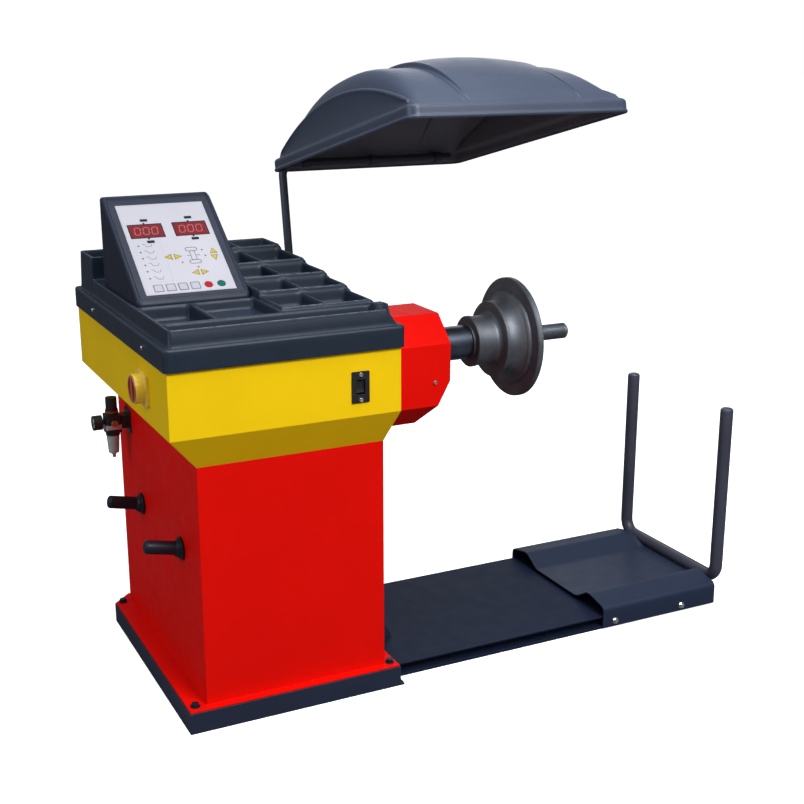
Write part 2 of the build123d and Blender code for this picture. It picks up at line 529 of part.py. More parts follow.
with BuildPart() as air_fittings:
    bar_z(REG_LOW - 76, REG_LOW - 61, REG_X, REG_Y, 5)
    bar_z(REG_LOW - 66, REG_LOW - 61, REG_X, REG_Y, 8)
    bar_y(REG_Y + 22, REG_Y + 30, REG_X, REG_LOW + 30, 11)
    bar_y(REG_Y + 30, REG_Y + 46, REG_X, REG_LOW + 30, 8.5)
    bar_y(REG_Y + 32, REG_Y + 47, REG_X, REG_LOW + 30, 5, mode=Mode.SUBTRACT)
    with BuildSketch(Plane.XZ.offset(22 - REG_Y)):
        with Locations((REG_X, REG_LOW + 30)):
            RegularPolygon(10, 6)
    extrude(amount=10)
save(air_fittings, "air_fittings")

# ------------------------------------------------------------------ spindle
TUBE_LEFT, TUBE_RIGHT, TUBE_BORE = -60.0, 640.0, 40.0
PLATE_XS = (-40.0, 222.0)            # the two plates that carry the tube

with BuildPart() as bearing_tube:
    turned([(TUBE_LEFT, TUBE_BORE), (TUBE_RIGHT, TUBE_BORE), (TUBE_RIGHT, TUBE_R - 3),
            (TUBE_RIGHT - 8, TUBE_R - 3), (TUBE_RIGHT - 8, TUBE_R), (TUBE_LEFT, TUBE_R)])
save(bearing_tube, "bearing_tube")

with BuildPart() as spindle_bearings:
    for x in (TUBE_LEFT + 6, TUBE_RIGHT - 36):
        turned([(x, SHAFT_R + RUN), (x + 24, SHAFT_R + RUN), (x + 24, SHAFT_R + 5), (x + 21, SHAFT_R + 6),
                (x + 21, TUBE_BORE - 5), (x + 24, TUBE_BORE - 4), (x + 24, TUBE_BORE), (x, TUBE_BORE),
                (x, TUBE_BORE - 4), (x + 3, TUBE_BORE - 5), (x + 3, SHAFT_R + 6), (x, SHAFT_R + 5)])
save(spindle_bearings, "spindle_bearings")

PULLEY_LEFT, PULLEY_RIGHT, PULLEY_R = -112.0, -76.0, 86.0
ENCODER_X = -128.0

with BuildPart() as spindle_shaft:
    turned([(ENCODER_X - 8, 0), (DISC_RIGHT, 0), (DISC_RIGHT, SHAFT_R), (ENCODER_X - 8, SHAFT_R)])
save(spindle_shaft, "spindle_shaft")

HUB_R, HUB_LEFT, LIP_R, LIP_LEFT = 73.0, 646.0, 109.0, 717.0

with BuildPart() as spindle_hub:
    with BuildSketch(SPINDLE_PLANE):
        with BuildLine():
            Polyline((DISC_LEFT, SHAFT_R), (TUBE_RIGHT + 1, SHAFT_R), (TUBE_RIGHT + 1, TUBE_R + 3),
                     (HUB_LEFT, TUBE_R + 3), (HUB_LEFT, HUB_R - 2), (HUB_LEFT + 2, HUB_R),
                     (HUB_LEFT + 12, HUB_R), (HUB_LEFT + 13, HUB_R - 2), (LIP_LEFT - 12, HUB_R - 2))
            RadiusArc((LIP_LEFT - 12, HUB_R - 2), (LIP_LEFT, HUB_R + 10), -12)
            Polyline((LIP_LEFT, HUB_R + 10), (LIP_LEFT, LIP_R - 2), (LIP_LEFT + 2, LIP_R),
                     (LIP_LEFT + 9, LIP_R), (LIP_LEFT + 11, LIP_R - 3), (LIP_LEFT + 11, LIP_R - 6))
            ThreePointArc((LIP_LEFT + 11, LIP_R - 6), (756, LIP_R + 4), (769, LIP_R + 17))
            RadiusArc((769, LIP_R + 17), (DISC_LEFT, LIP_R + 26), 11)
            Line((DISC_LEFT, LIP_R + 26), (DISC_LEFT, SHAFT_R))
        make_face()
    revolve(axis=SPINDLE_AXIS)
save(spindle_hub, "spindle_hub")

with BuildPart() as wheel_disc:
    turned([(DISC_LEFT, SHAFT_R), (DISC_LEFT, DISC_R - 3), (DISC_LEFT + 3, DISC_R),
            (DISC_RIGHT - 2, DISC_R), (DISC_RIGHT, DISC_R - 2), (DISC_RIGHT, SHAFT_R)])
save(wheel_disc, "wheel_disc")

with BuildPart() as spindle_screw:
    turned([(DISC_RIGHT, 0), (SPINDLE_END, 0), (SPINDLE_END, THREAD_R - 4), (SPINDLE_END - 4, THREAD_R),
            (DISC_RIGHT, THREAD_R)])
save(spindle_screw, "spindle_screw")

with BuildPart() as driven_pulley:
    turned([(PULLEY_LEFT, SHAFT_R), (PULLEY_RIGHT, SHAFT_R), (PULLEY_RIGHT, PULLEY_R + 4),
            (PULLEY_RIGHT - 4, PULLEY_R + 4), (PULLEY_RIGHT - 5, PULLEY_R), (PULLEY_LEFT + 5, PULLEY_R),
            (PULLEY_LEFT + 4, PULLEY_R + 4), (PULLEY_LEFT, PULLEY_R + 4)])
save(driven_pulley, "driven_pulley")

with BuildPart() as encoder_disc:
    turned([(ENCODER_X - 2, SHAFT_R), (ENCODER_X + 2, SHAFT_R), (ENCODER_X + 2, 48), (ENCODER_X - 2, 48)])
    for i in range(24):
        turn = math.radians(15 * i)
        bar_x(ENCODER_X - 3, ENCODER_X + 3, SPINDLE_Y + 42 * math.cos(turn),
              SPINDLE_Z + 42 * math.sin(turn), 2, mode=Mode.SUBTRACT)
save(encoder_disc, "encoder_disc")

# ------------------------------------------------------------------ spindle carrier and drive
CARRIER_T = 12.0
RAIL_LOW, RAIL_TOP = 664.0, 688.0
SENSOR_R = 13.0
SENSOR_Y = SPINDLE_Y - TUBE_R - SENSOR_R - 4

with BuildPart() as spindle_support:
    for x in PLATE_XS:
        block(x - CARRIER_T / 2, x + CARRIER_T / 2, SPINDLE_Y - 110, SPINDLE_Y + 110,
              RAIL_LOW, SPINDLE_Z + 66)
        bar_x(x - CARRIER_T, x + CARRIER_T, SPINDLE_Y, SPINDLE_Z, TUBE_R + 0.5, mode=Mode.SUBTRACT)
        block(x - CARRIER_T, x + CARRIER_T, SPINDLE_Y - 60, SPINDLE_Y + 60, RAIL_TOP + 10, SPINDLE_Z - 66,
              mode=Mode.SUBTRACT)
    for y in (SPINDLE_Y - 100, SPINDLE_Y + 100):
        block(PLATE_XS[0] - 6, PLATE_XS[1] + 6, y - 10, y + 10, RAIL_LOW, RAIL_TOP)
    for x in PLATE_XS:
        block(x - 15, x + 15, -CAB_HALF_Y + SHEET, CAB_HALF_Y - SHEET, RAIL_LOW - 8, RAIL_LOW)
save(spindle_support, "spindle_support")

with BuildPart() as force_sensors:
    for x in PLATE_XS:
        edge = x + CARRIER_T / 2
        bar_x(edge, edge + 26, SENSOR_Y, SPINDLE_Z, SENSOR_R)
        bar_x(edge, edge + 4, SENSOR_Y, SPINDLE_Z, SENSOR_R + 3)
save(force_sensors, "force_sensors")

MOTOR_Y, MOTOR_Z, MOTOR_R = 160.0, 584.0, 62.0
MOTOR_LEFT, MOTOR_RIGHT = -50.0, 112.0
MOTOR_PULLEY_R = 30.0
BELT_T = 4.0

with BuildPart() as drive_motor:
    bar_x(MOTOR_LEFT, MOTOR_RIGHT, MOTOR_Y, MOTOR_Z, MOTOR_R - 5)
    for i in range(20):
        with BuildSketch(Plane.YZ.offset(MOTOR_LEFT + 16)):
            with Locations(Location((MOTOR_Y, MOTOR_Z), 18 * i)):
                with Locations((MOTOR_R - 5, 0)):
                    Rectangle(12, 3)
        extrude(amount=MOTOR_RIGHT - MOTOR_LEFT - 40)
    bar_x(MOTOR_LEFT, MOTOR_LEFT + 12, MOTOR_Y, MOTOR_Z, MOTOR_R + 3)
    block(MOTOR_LEFT + 20, MOTOR_RIGHT - 30, MOTOR_Y - 45, MOTOR_Y + 45, MOTOR_Z - MOTOR_R - 8, MOTOR_Z)
    block(MOTOR_LEFT + 30, MOTOR_RIGHT - 50, MOTOR_Y + 40, MOTOR_Y + 86, MOTOR_Z - 25, MOTOR_Z + 25)
    bar_x(MOTOR_LEFT - 1, MOTOR_LEFT + 30, MOTOR_Y, MOTOR_Z, 9 + RUN, mode=Mode.SUBTRACT)
save(drive_motor, "drive_motor")

with BuildPart() as motor_pulley:
    bar_x(PULLEY_LEFT, PULLEY_RIGHT, MOTOR_Y, MOTOR_Z, MOTOR_PULLEY_R)
    for x in (PULLEY_LEFT, PULLEY_RIGHT - 4):
        bar_x(x, x + 4, MOTOR_Y, MOTOR_Z, MOTOR_PULLEY_R + 4)
    bar_x(PULLEY_RIGHT, MOTOR_LEFT + 29, MOTOR_Y, MOTOR_Z, 9)
save(motor_pulley, "motor_pulley")

with BuildPart() as motor_bracket:
    block(MOTOR_LEFT + 14, MOTOR_RIGHT - 20, MOTOR_Y - 55, CAB_HALF_Y - SHEET, MOTOR_Z - MOTOR_R - 14,
          MOTOR_Z - MOTOR_R - 8)
    block(MOTOR_LEFT + 14, MOTOR_RIGHT - 20, CAB_HALF_Y - SHEET - 6, CAB_HALF_Y - SHEET, DOOR_TOP + 4, 650)
    block(MOTOR_LEFT + 14, MOTOR_RIGHT - 20, CAB_HALF_Y - SHEET - 6, CAB_HALF_Y - SHEET,
          MOTOR_Z - MOTOR_R - 8, DOOR_TOP + 4)
    for x in (MOTOR_LEFT + 14, MOTOR_RIGHT - 26):
        rear = CAB_HALF_Y - SHEET - 6
        with BuildSketch(Plane.YZ.offset(x)):
            outline((rear, MOTOR_Z - MOTOR_R - 8), (rear, MOTOR_Z + 30), (rear - 90, MOTOR_Z - MOTOR_R - 8))
        extrude(amount=6)
save(motor_bracket, "motor_bracket")


def belt_outline(grow):
    """Draw the outline of two pulleys and the belt's straight runs round them."""
    big, small = PULLEY_R + 0.3 + grow, MOTOR_PULLEY_R + 0.3 + grow
    span_y, span_z = MOTOR_Y - SPINDLE_Y, MOTOR_Z - SPINDLE_Z
    heading = math.atan2(span_z, span_y)
    lean = math.acos((big - small) / math.hypot(span_y, span_z))
    corners = []
    for side in (1, -1):
        turn = heading + side * lean
        corners.append((SPINDLE_Y + big * math.cos(turn), SPINDLE_Z + big * math.sin(turn)))
        corners.append((MOTOR_Y + small * math.cos(turn), MOTOR_Z + small * math.sin(turn)))
    with Locations((SPINDLE_Y, SPINDLE_Z)):
        Circle(big)
    with Locations((MOTOR_Y, MOTOR_Z)):
        Circle(small)
    outline(corners[0], corners[1], corners[3], corners[2])


with BuildPart() as drive_belt:
    with BuildSketch(Plane.YZ.offset(PULLEY_LEFT + 6)):
        belt_outline(BELT_T)
    extrude(amount=PULLEY_RIGHT - PULLEY_LEFT - 12)
    with BuildSketch(Plane.YZ.offset(PULLEY_LEFT)):
        belt_outline(0)
    extrude(amount=PULLEY_RIGHT - PULLEY_LEFT, mode=Mode.SUBTRACT)
save(drive_belt, "drive_belt")

with BuildPart() as power_box:
    block(-CAB_HALF_X + SHEET, -150, -190, 120, 250, 520)
    block(-CAB_HALF_X, -152, -188, 118, 252, 518, mode=Mode.SUBTRACT)
    fillet(power_box.edges().filter_by(Axis.Z).sort_by(Axis.X)[-2:], 8)
    for i in range(6):
        block(-150, -149, -150 + 40 * i, -130 + 40 * i, 300, 470)
save(power_box, "power_box")

# ------------------------------------------------------------------ red shaft housing
HOUSING_RIGHT = 512.0
HOUSING_HALF, HOUSING_FLAT = 148.0, 75.0     # half width at the sides and of the top face
HOUSING_TOP, HOUSING_FOLD = 968.0, 898.0
HOUSING_LOWER_FOLD, HOUSING_BOTTOM = 727.0, 663.0
CUT_TOP, CUT_BACK = 794.0, 72.0              # slanted lower corner of the end


def housing_outline(inset):
    """Draw the eight-sided section of the shaft housing."""
    half, flat = HOUSING_HALF - inset, HOUSING_FLAT - 0.45 * inset
    sides = [(-half, HOUSING_FOLD), (-flat, HOUSING_TOP - inset), (flat, HOUSING_TOP - inset),
             (half, HOUSING_FOLD), (half, HOUSING_LOWER_FOLD), (flat, HOUSING_BOTTOM + inset),
             (-flat, HOUSING_BOTTOM + inset), (-half, HOUSING_LOWER_FOLD)]
    outline(*[(SPINDLE_Y + y, z) for y, z in sides])


def housing_corner(inset):
    """Draw the side view of the housing with its slanted lower corner."""
    right = HOUSING_RIGHT - inset
    foot = right - CUT_BACK + 0.45 * inset
    outline((HEAD_RIGHT - 2, HOUSING_TOP + 1), (right, HOUSING_TOP + 1), (right, CUT_TOP),
            (foot, HOUSING_BOTTOM - 1), (HEAD_RIGHT - 2, HOUSING_BOTTOM - 1))


def housing_body(inset, left):
    """Add the housing as a solid: its section cut to its side view."""
    with BuildSketch(Plane.YZ.offset(left)) as section:
        housing_outline(inset)
    extrude(section.sketch, amount=HOUSING_RIGHT - left)
    with BuildSketch(Plane.XZ) as side_view:
        housing_corner(inset)
    extrude(side_view.sketch, amount=400, both=True, mode=Mode.INTERSECT)


with BuildPart() as housing_space:
    housing_body(SHEET, HEAD_RIGHT - 1)

with BuildPart() as shaft_housing:
    housing_body(0, HEAD_RIGHT)
    add(housing_space.part, mode=Mode.SUBTRACT)
    bar_x(HOUSING_RIGHT - 10, HOUSING_RIGHT + 1, SPINDLE_Y, SPINDLE_Z, TUBE_R + 1.5, mode=Mode.SUBTRACT)
    block(HEAD_RIGHT, HEAD_RIGHT + LIP_OUT + 5, SPINDLE_Y - 200, SPINDLE_Y + 200,
          LIP_LOW - 1, HOUSING_TOP + 1, mode=Mode.SUBTRACT)
save(shaft_housing, "shaft_housing")

SCREW_HEAD_R, SCREW_HEAD_H = 5.5, 3.2


def screw(place, heading):
    """Add the head of a pan-head screw with a cross recess, standing out along heading."""
    with BuildSketch(Plane(origin=place, z_dir=heading)) as head:
        Circle(SCREW_HEAD_R)
    extrude(head.sketch, amount=SCREW_HEAD_H)
    with BuildSketch(Plane(origin=place, z_dir=heading).offset(SCREW_HEAD_H)) as crown:
        Circle(SCREW_HEAD_R)
    extrude(crown.sketch, amount=1, taper=45)
    with BuildSketch(Plane(origin=place, z_dir=heading).offset(SCREW_HEAD_H + 1)) as cross:
        Rectangle(7, 1.2)
        Rectangle(1.2, 7)
    extrude(cross.sketch, amount=-1.8, mode=Mode.SUBTRACT)


with BuildPart() as panel_screws:
    for y in (HEAD_FRONT + 170, HEAD_REAR - 215):
        screw((HEAD_LEFT - LIP_OUT, y, LIP_LOW + 26), (-1, 0, 0))
        screw((HEAD_RIGHT + LIP_OUT + 4, y + 160, LIP_LOW + 26), (1, 0, 0))
    for x in (-200, 140):
        screw((x, HEAD_REAR + LIP_OUT, LIP_LOW + 26), (0, 1, 0))
    for side in (-1, 1):
        screw((HOUSING_RIGHT - 47, SPINDLE_Y + side * HOUSING_HALF, 793.6), (0, side, 0))
    for x in (-DOOR_SCREW_X, DOOR_SCREW_X):
        for z in (DOOR_LOW - 7, DOOR_TOP + 7):
            screw((x, CAB_HALF_Y + 2, z), (0, 1, 0))
    for z in (ROCKER_Z - 32, ROCKER_Z + 32):
        screw((ROCKER_X, HEAD_FRONT - 3, z), (0, -1, 0))
save(panel_screws, "panel_screws")

# ------------------------------------------------------------------ wheel lift
COLUMN_X, COLUMN_R, COLUMN_DY = 190.0, 15.0, 120.0
COLUMN_TOP = 560.0
CYL_X, CYL_R, CYL_BORE, ROD_R = 60.0, 45.0, 40.0, 12.5
CYL_LOW, CYL_TOP = 5.0, 402.0
CROSS_Z = 432.0
PISTON_LOW = 28.0

with BuildPart() as lift_columns:
    block(COLUMN_X - 30, 238, LIFT_Y - COLUMN_DY - 30, LIFT_Y + COLUMN_DY + 30, BASE_FLOOR, BASE_FLOOR + 12)
    block(COLUMN_X - 20, CAB_HALF_X - SHEET, LIFT_Y - COLUMN_DY - 30, LIFT_Y + COLUMN_DY + 30,
          COLUMN_TOP, COLUMN_TOP + 12)
    for y in (LIFT_Y - COLUMN_DY, LIFT_Y + COLUMN_DY):
        bar_z(BASE_FLOOR + 12, COLUMN_TOP, COLUMN_X, y, COLUMN_R)
save(lift_columns, "lift_columns")

with BuildPart() as lift_cylinder:
    block(CYL_X - 50, CYL_X + 50, LIFT_Y - 50, LIFT_Y + 50, CYL_LOW, CYL_LOW + 20)
    bar_z(CYL_LOW + 20, CYL_TOP - 22, CYL_X, LIFT_Y, CYL_R)
    block(CYL_X - 50, CYL_X + 50, LIFT_Y - 50, LIFT_Y + 50, CYL_TOP - 22, CYL_TOP)
    for dx in (-43, 43):
        for dy in (-43, 43):
            bar_z(CYL_LOW + 20, CYL_TOP - 22, CYL_X + dx, LIFT_Y + dy, 4)
    bar_z(CYL_LOW + 20, CYL_TOP - 22, CYL_X, LIFT_Y, CYL_BORE, mode=Mode.SUBTRACT)
    bar_z(CYL_TOP - 23, CYL_TOP + 1, CYL_X, LIFT_Y, ROD_R + RUN, mode=Mode.SUBTRACT)
save(lift_cylinder, "lift_cylinder")

with BuildPart() as lift_rod:
    bar_z(PISTON_LOW, PISTON_LOW + 24, CYL_X, LIFT_Y, CYL_BORE - RUN)
    bar_z(PISTON_LOW + 24, CROSS_Z + 12, CYL_X, LIFT_Y, ROD_R)
    with BuildSketch(Plane.XY.offset(CROSS_Z + 12)):
        with Locations((CYL_X, LIFT_Y)):
            RegularPolygon(18, 6)
    extrude(amount=8)
save(lift_rod, "lift_rod")

SLIDER_X, CARRIER_TOP, TONGUE_HALF = 122.0, 172.0, 96.0

with BuildPart() as lift_slider:
    block(SLIDER_X, SLIDER_X + 10, LIFT_Y - COLUMN_DY - 30, LIFT_Y + COLUMN_DY + 30, 72, CARRIER_TOP + 14)
    block(SLIDER_X, SLIDER_X + 10, LIFT_Y - 48, LIFT_Y + 48, CARRIER_TOP, CROSS_Z + 12)
    block(CYL_X - 24, SLIDER_X, LIFT_Y - 40, LIFT_Y + 40, CROSS_Z, CROSS_Z + 12)
    bar_z(CROSS_Z - 1, CROSS_Z + 13, CYL_X, LIFT_Y, ROD_R, mode=Mode.SUBTRACT)
    for side in (-1, 1):
        y = LIFT_Y + side * COLUMN_DY
        block(SLIDER_X + 10, COLUMN_X + 26, y - 26, y + 26, 72, CARRIER_TOP)
        bar_z(71, CARRIER_TOP + 1, COLUMN_X, y, COLUMN_R + RUN, mode=Mode.SUBTRACT)
    block(SLIDER_X + 10, TRACK_LEFT + 6, LIFT_Y - TONGUE_HALF + 4, LIFT_Y - TONGUE_HALF + 24, 84, 144)
    block(SLIDER_X + 10, TRACK_LEFT + 6, LIFT_Y + TONGUE_HALF - 24, LIFT_Y + TONGUE_HALF - 4, 84, 144)
    block(TRACK_LEFT, TRACK_LEFT + 10, LIFT_Y - 150, LIFT_Y + 150, TRACK_H, 150)
    for side in (-1, 1):
        with BuildSketch(Plane.XZ.offset(-LIFT_Y - side * 84 - 4)):
            outline((TRACK_LEFT + 10, TRACK_H), (TRACK_LEFT + 58, TRACK_H), (TRACK_LEFT + 58, TRACK_H + 8),
                    (TRACK_LEFT + 10, 140))
        extrude(amount=8)
save(lift_slider, "lift_slider")

TRACK_SKIN, WEB_Y = 4.0, 226.0

with BuildPart() as lift_track:
    block(TRACK_LEFT, TRACK_RIGHT, LIFT_Y - TRACK_HALF_Y, LIFT_Y + TRACK_HALF_Y,
          TRACK_H - TRACK_SKIN, TRACK_H)
    for side in (-1, 1):
        y0, y1 = sorted((LIFT_Y + side * WEB_Y, LIFT_Y + side * (WEB_Y - TRACK_SKIN)))
        block(TRACK_LEFT, TRACK_RIGHT, y0, y1, 0, TRACK_H - TRACK_SKIN)
        y0, y1 = sorted((LIFT_Y + side * TRACK_HALF_Y, LIFT_Y + side * (WEB_Y - 30)))
        block(TRACK_LEFT, TRACK_RIGHT, y0, y1, 0, 8)
    for x in (TRACK_LEFT, (TRACK_LEFT + TRACK_RIGHT) / 2, TRACK_RIGHT - TRACK_SKIN):
        block(x, x + TRACK_SKIN, LIFT_Y - WEB_Y, LIFT_Y + WEB_Y, 0, TRACK_H - TRACK_SKIN)
save(lift_track, "lift_track")

FLAP_Y, RIDGE_Y, TROUGH_Y = 261.0, 174.0, 115.0
FLAP_LOW, FLAP_TOP, RIDGE_Z, TROUGH_Z = 4.0, 68.0, 88.0, 52.0
PAN_T = 4.0
LUG_Z = 70.0


def pan_half(side):
    """Give one half of the carriage's section, from the middle to the flap's lower edge."""
    upper = [(0, TROUGH_Z), (TROUGH_Y, TROUGH_Z), (RIDGE_Y, RIDGE_Z), (FLAP_Y, FLAP_TOP), (FLAP_Y, FLAP_LOW)]
    lower = [(FLAP_Y - PAN_T + 1, FLAP_LOW), (FLAP_Y - PAN_T + 1, FLAP_TOP - 3),
             (RIDGE_Y, RIDGE_Z - PAN_T - 1), (TROUGH_Y + 1, TROUGH_Z - PAN_T), (0, TROUGH_Z - PAN_T)]
    return [(LIFT_Y + side * y, z) for y, z in upper + lower]


AXLE_XS = (1018.0, 1262.0)

with BuildPart() as carriage_pan:
    for side in (-1, 1):
        with BuildSketch(Plane.YZ.offset(CARRIAGE_LEFT)):
            outline(*pan_half(side))
        extrude(amount=CARRIAGE_RIGHT - CARRIAGE_LEFT)
        for x in AXLE_XS:
            bar_y(min(LIFT_Y + side * (FLAP_Y + 1), LIFT_Y + side * (FLAP_Y - 5)),
                  max(LIFT_Y + side * (FLAP_Y + 1), LIFT_Y + side * (FLAP_Y - 5)),
                  x, ROLLER_Z, 5, mode=Mode.SUBTRACT)
save(carriage_pan, "carriage_pan")

ROLLER_IN, ROLLER_OUT = 234.0, 252.0

for name, x in zip(("carriage_rollers_inner", "carriage_rollers_outer"), AXLE_XS):
    with BuildPart() as rollers:
        for side in (-1, 1):
            y0, y1 = sorted((LIFT_Y + side * ROLLER_IN, LIFT_Y + side * ROLLER_OUT))
            bar_y(y0, y1, x, ROLLER_Z, ROLLER_R)
            bar_y(y0, y1, x, ROLLER_Z, 5 + RUN, mode=Mode.SUBTRACT)
    save(rollers, name)

with BuildPart() as axle_bolts:
    for x in AXLE_XS:
        for side in (-1, 1):
            y0, y1 = sorted((LIFT_Y + side * (ROLLER_IN - 4), LIFT_Y + side * FLAP_Y))
            bar_y(y0, y1, x, ROLLER_Z, 5)
            y0, y1 = sorted((LIFT_Y + side * FLAP_Y, LIFT_Y + side * (FLAP_Y + 1.5)))
            bar_y(y0, y1, x, ROLLER_Z, 10)
            with BuildSketch(Plane(origin=(x, LIFT_Y + side * (FLAP_Y + 1.5), ROLLER_Z), z_dir=(0, side, 0))):
                RegularPolygon(8, 6)
            extrude(amount=5.5)
            y0, y1 = sorted((LIFT_Y + side * (ROLLER_IN - 5), LIFT_Y + side * (ROLLER_IN - GAP)))
            bar_y(y0, y1, x, ROLLER_Z, 8)
save(axle_bolts, "axle_bolts")

POST_BEND, POST_WALL = 46.0, 2.5

with BuildPart() as u_bar:
    with BuildLine():
        FilletPolyline((POST_X, LIFT_Y - POST_HALF_Y, POST_TOP), (POST_X, LIFT_Y - POST_HALF_Y, LUG_Z),
                       (POST_X, LIFT_Y + POST_HALF_Y, LUG_Z), (POST_X, LIFT_Y + POST_HALF_Y, POST_TOP),
                       radius=POST_BEND)
    with BuildSketch(Plane(origin=(POST_X, LIFT_Y - POST_HALF_Y, POST_TOP), z_dir=(0, 0, -1))):
        Circle(POST_R)
        Circle(POST_R - POST_WALL, mode=Mode.SUBTRACT)
    sweep()
    for side in (-1, 1):
        y0, y1 = sorted((LIFT_Y + side * (RIDGE_Y - 24), LIFT_Y + side * (RIDGE_Y + 6)))
        block(CARRIAGE_RIGHT, POST_X - POST_R + 2, y0, y1, LUG_Z - 6, LUG_Z + 6)
save(u_bar, "u_bar")

# ------------------------------------------------------------------ hood
tilt = math.radians(HOOD_TILT)
# Local x runs from the rear rim to the front rim, local y stands up from the rim.
HOOD_PLANE = Plane(origin=(0, HOOD_REAR_Y, HOOD_REAR_Z),
                   x_dir=(0, -math.cos(tilt), math.sin(tilt)), z_dir=(-1, 0, 0))
DOME_IN = 10.0                        # the dome stands in from the rim, front and rear
SIDE_WALL = 14.0                      # the side walls stand in from the rim
BAND_LEFT, BAND_RIGHT = 475.0, 803.0  # raised band across the middle
BAND_RISE = 180.0
# Height of the arch at the side walls, on the shoulders and beside the band, with the way in from the wall.
SHOULDERS = ((0.0, 100.0), (16.0, 143.0), (44.0, 156.0))
SHOULDER_END = 158.0


def hood_section(x):
    """Give the hood's cross-section plane at a place along X."""
    return HOOD_PLANE.offset(-x)


def dome_outline(rise, inset=0.0, low=0.0):
    """Draw the arched side view of the dome over the rim."""
    near, far = DOME_IN + inset, HOOD_DEPTH - DOME_IN - inset
    spring = RIM_H - inset
    with BuildSketch() as shape:
        with BuildLine():
            Line((far, low), (near, low))
            Line((near, low), (near, spring))
            ThreePointArc((near, spring), (HOOD_DEPTH / 2, RIM_H + rise - inset), (far, spring))
            Line((far, spring), (far, low))
        make_face()
    add(shape.sketch)


def hood_body(inset, low):
    """Add the rim, the two shoulders and the raised band, all drawn in by inset."""
    left, right = HOOD_LEFT + inset, HOOD_RIGHT - inset
    with BuildSketch(hood_section(left)) as rim:
        with Locations((HOOD_DEPTH / 2, (RIM_H - inset + low) / 2)):
            Rectangle(HOOD_DEPTH - 2 * inset, RIM_H - inset - low)
    extrude(rim.sketch, amount=-(right - left))
    sides = ((left + SIDE_WALL, BAND_LEFT + inset, 1), (right - SIDE_WALL, BAND_RIGHT - inset, -1))
    for wall, band, inward in sides:
        stations = [(wall + inward * way, rise) for way, rise in SHOULDERS] + [(band, SHOULDER_END)]
        for (x0, rise0), (x1, rise1) in zip(stations, stations[1:]):
            with BuildSketch(hood_section(x0)) as outer_end:
                dome_outline(rise0, inset, low)
            with BuildSketch(hood_section(x1)) as inner_end:
                dome_outline(rise1, inset, low)
            loft([outer_end.sketch, inner_end.sketch], ruled=True)
    with BuildSketch(hood_section(BAND_LEFT + inset)) as raised:
        dome_outline(BAND_RISE, inset, low)
    extrude(raised.sketch, amount=-(BAND_RIGHT - BAND_LEFT - 2 * inset))


TUBE_IN, TUBE_UP = 39.0, 20.0          # tube's place in from the rear rim and over its lower edge
TUBE_Y = HOOD_REAR_Y - TUBE_IN * math.cos(tilt) + TUBE_UP * math.sin(tilt)
TUBE_Z = HOOD_REAR_Z + TUBE_IN * math.sin(tilt) + TUBE_UP * math.cos(tilt)
TUBE_END = 900.0
CLIP_XS = (400.0, 627.0, 855.0)

with BuildPart() as hood_space:
    hood_body(HOOD_SKIN, -1)

with BuildPart() as hood_shell:
    hood_body(0, 0)
    add(hood_space.part, mode=Mode.SUBTRACT)
    for x in CLIP_XS:
        with Locations(HOOD_PLANE.offset(-x) * Location((2, TUBE_UP, 0), (0, 90, 0))):
            Cylinder(4.2, 30, mode=Mode.SUBTRACT)
save(hood_shell, "hood_shell")

ARM_X = 322.0
ARM_BEND = 36.0
ARM_WALL = 2.5

with BuildPart() as hood_arm:
    with BuildLine():
        FilletPolyline((170, HOOD_PIVOT_Y, HOOD_PIVOT_Z), (ARM_X, HOOD_PIVOT_Y, HOOD_PIVOT_Z),
                       (ARM_X, TUBE_Y, TUBE_Z), (TUBE_END, TUBE_Y, TUBE_Z), radius=ARM_BEND)
    with BuildSketch(Plane(origin=(170, HOOD_PIVOT_Y, HOOD_PIVOT_Z), z_dir=(1, 0, 0))):
        Circle(ARM_R)
        Circle(ARM_R - ARM_WALL, mode=Mode.SUBTRACT)
    sweep()
save(hood_arm, "hood_arm")

with BuildPart() as hood_clips:
    for x in CLIP_XS:
        with BuildSketch(HOOD_PLANE.offset(-x + 11)):
            with Locations((TUBE_IN, TUBE_UP)):
                Circle(ARM_R + 3.5)
            with Locations((20, TUBE_UP)):
                Rectangle(32, 12)
            with Locations((TUBE_IN, TUBE_UP)):
                Circle(ARM_R + RUN, mode=Mode.SUBTRACT)
        extrude(amount=-22)
        with Locations(HOOD_PLANE.offset(-x) * Location((1, TUBE_UP, 0), (0, 90, 0))):
            Cylinder(4, 8)
        with Locations(HOOD_PLANE.offset(-x) * Location((-3, TUBE_UP, 0), (0, 90, 0))):
            Cylinder(8, 6)
save(hood_clips, "hood_clips")

with BuildPart() as hood_bearings:
    block(HEAD_RIGHT, HEAD_RIGHT + 8, HOOD_PIVOT_Y - 60, HOOD_PIVOT_Y + 22,
          HOOD_PIVOT_Z - 40, HOOD_PIVOT_Z + 40)
    bar_x(HEAD_RIGHT + 8, HEAD_RIGHT + 13, HOOD_PIVOT_Y, HOOD_PIVOT_Z, 21)
    bar_x(HEAD_RIGHT - SHEET - 12, HEAD_RIGHT, HOOD_PIVOT_Y, HOOD_PIVOT_Z, HOOD_HOLE_R)
    block(180, 190, HOOD_PIVOT_Y - 24, HEAD_REAR - SHEET, HOOD_PIVOT_Z - 30, HOOD_PIVOT_Z + 30)
    bar_x(170, HEAD_RIGHT + 30, HOOD_PIVOT_Y, HOOD_PIVOT_Z, ARM_R + RUN, mode=Mode.SUBTRACT)
save(hood_bearings, "hood_bearings")

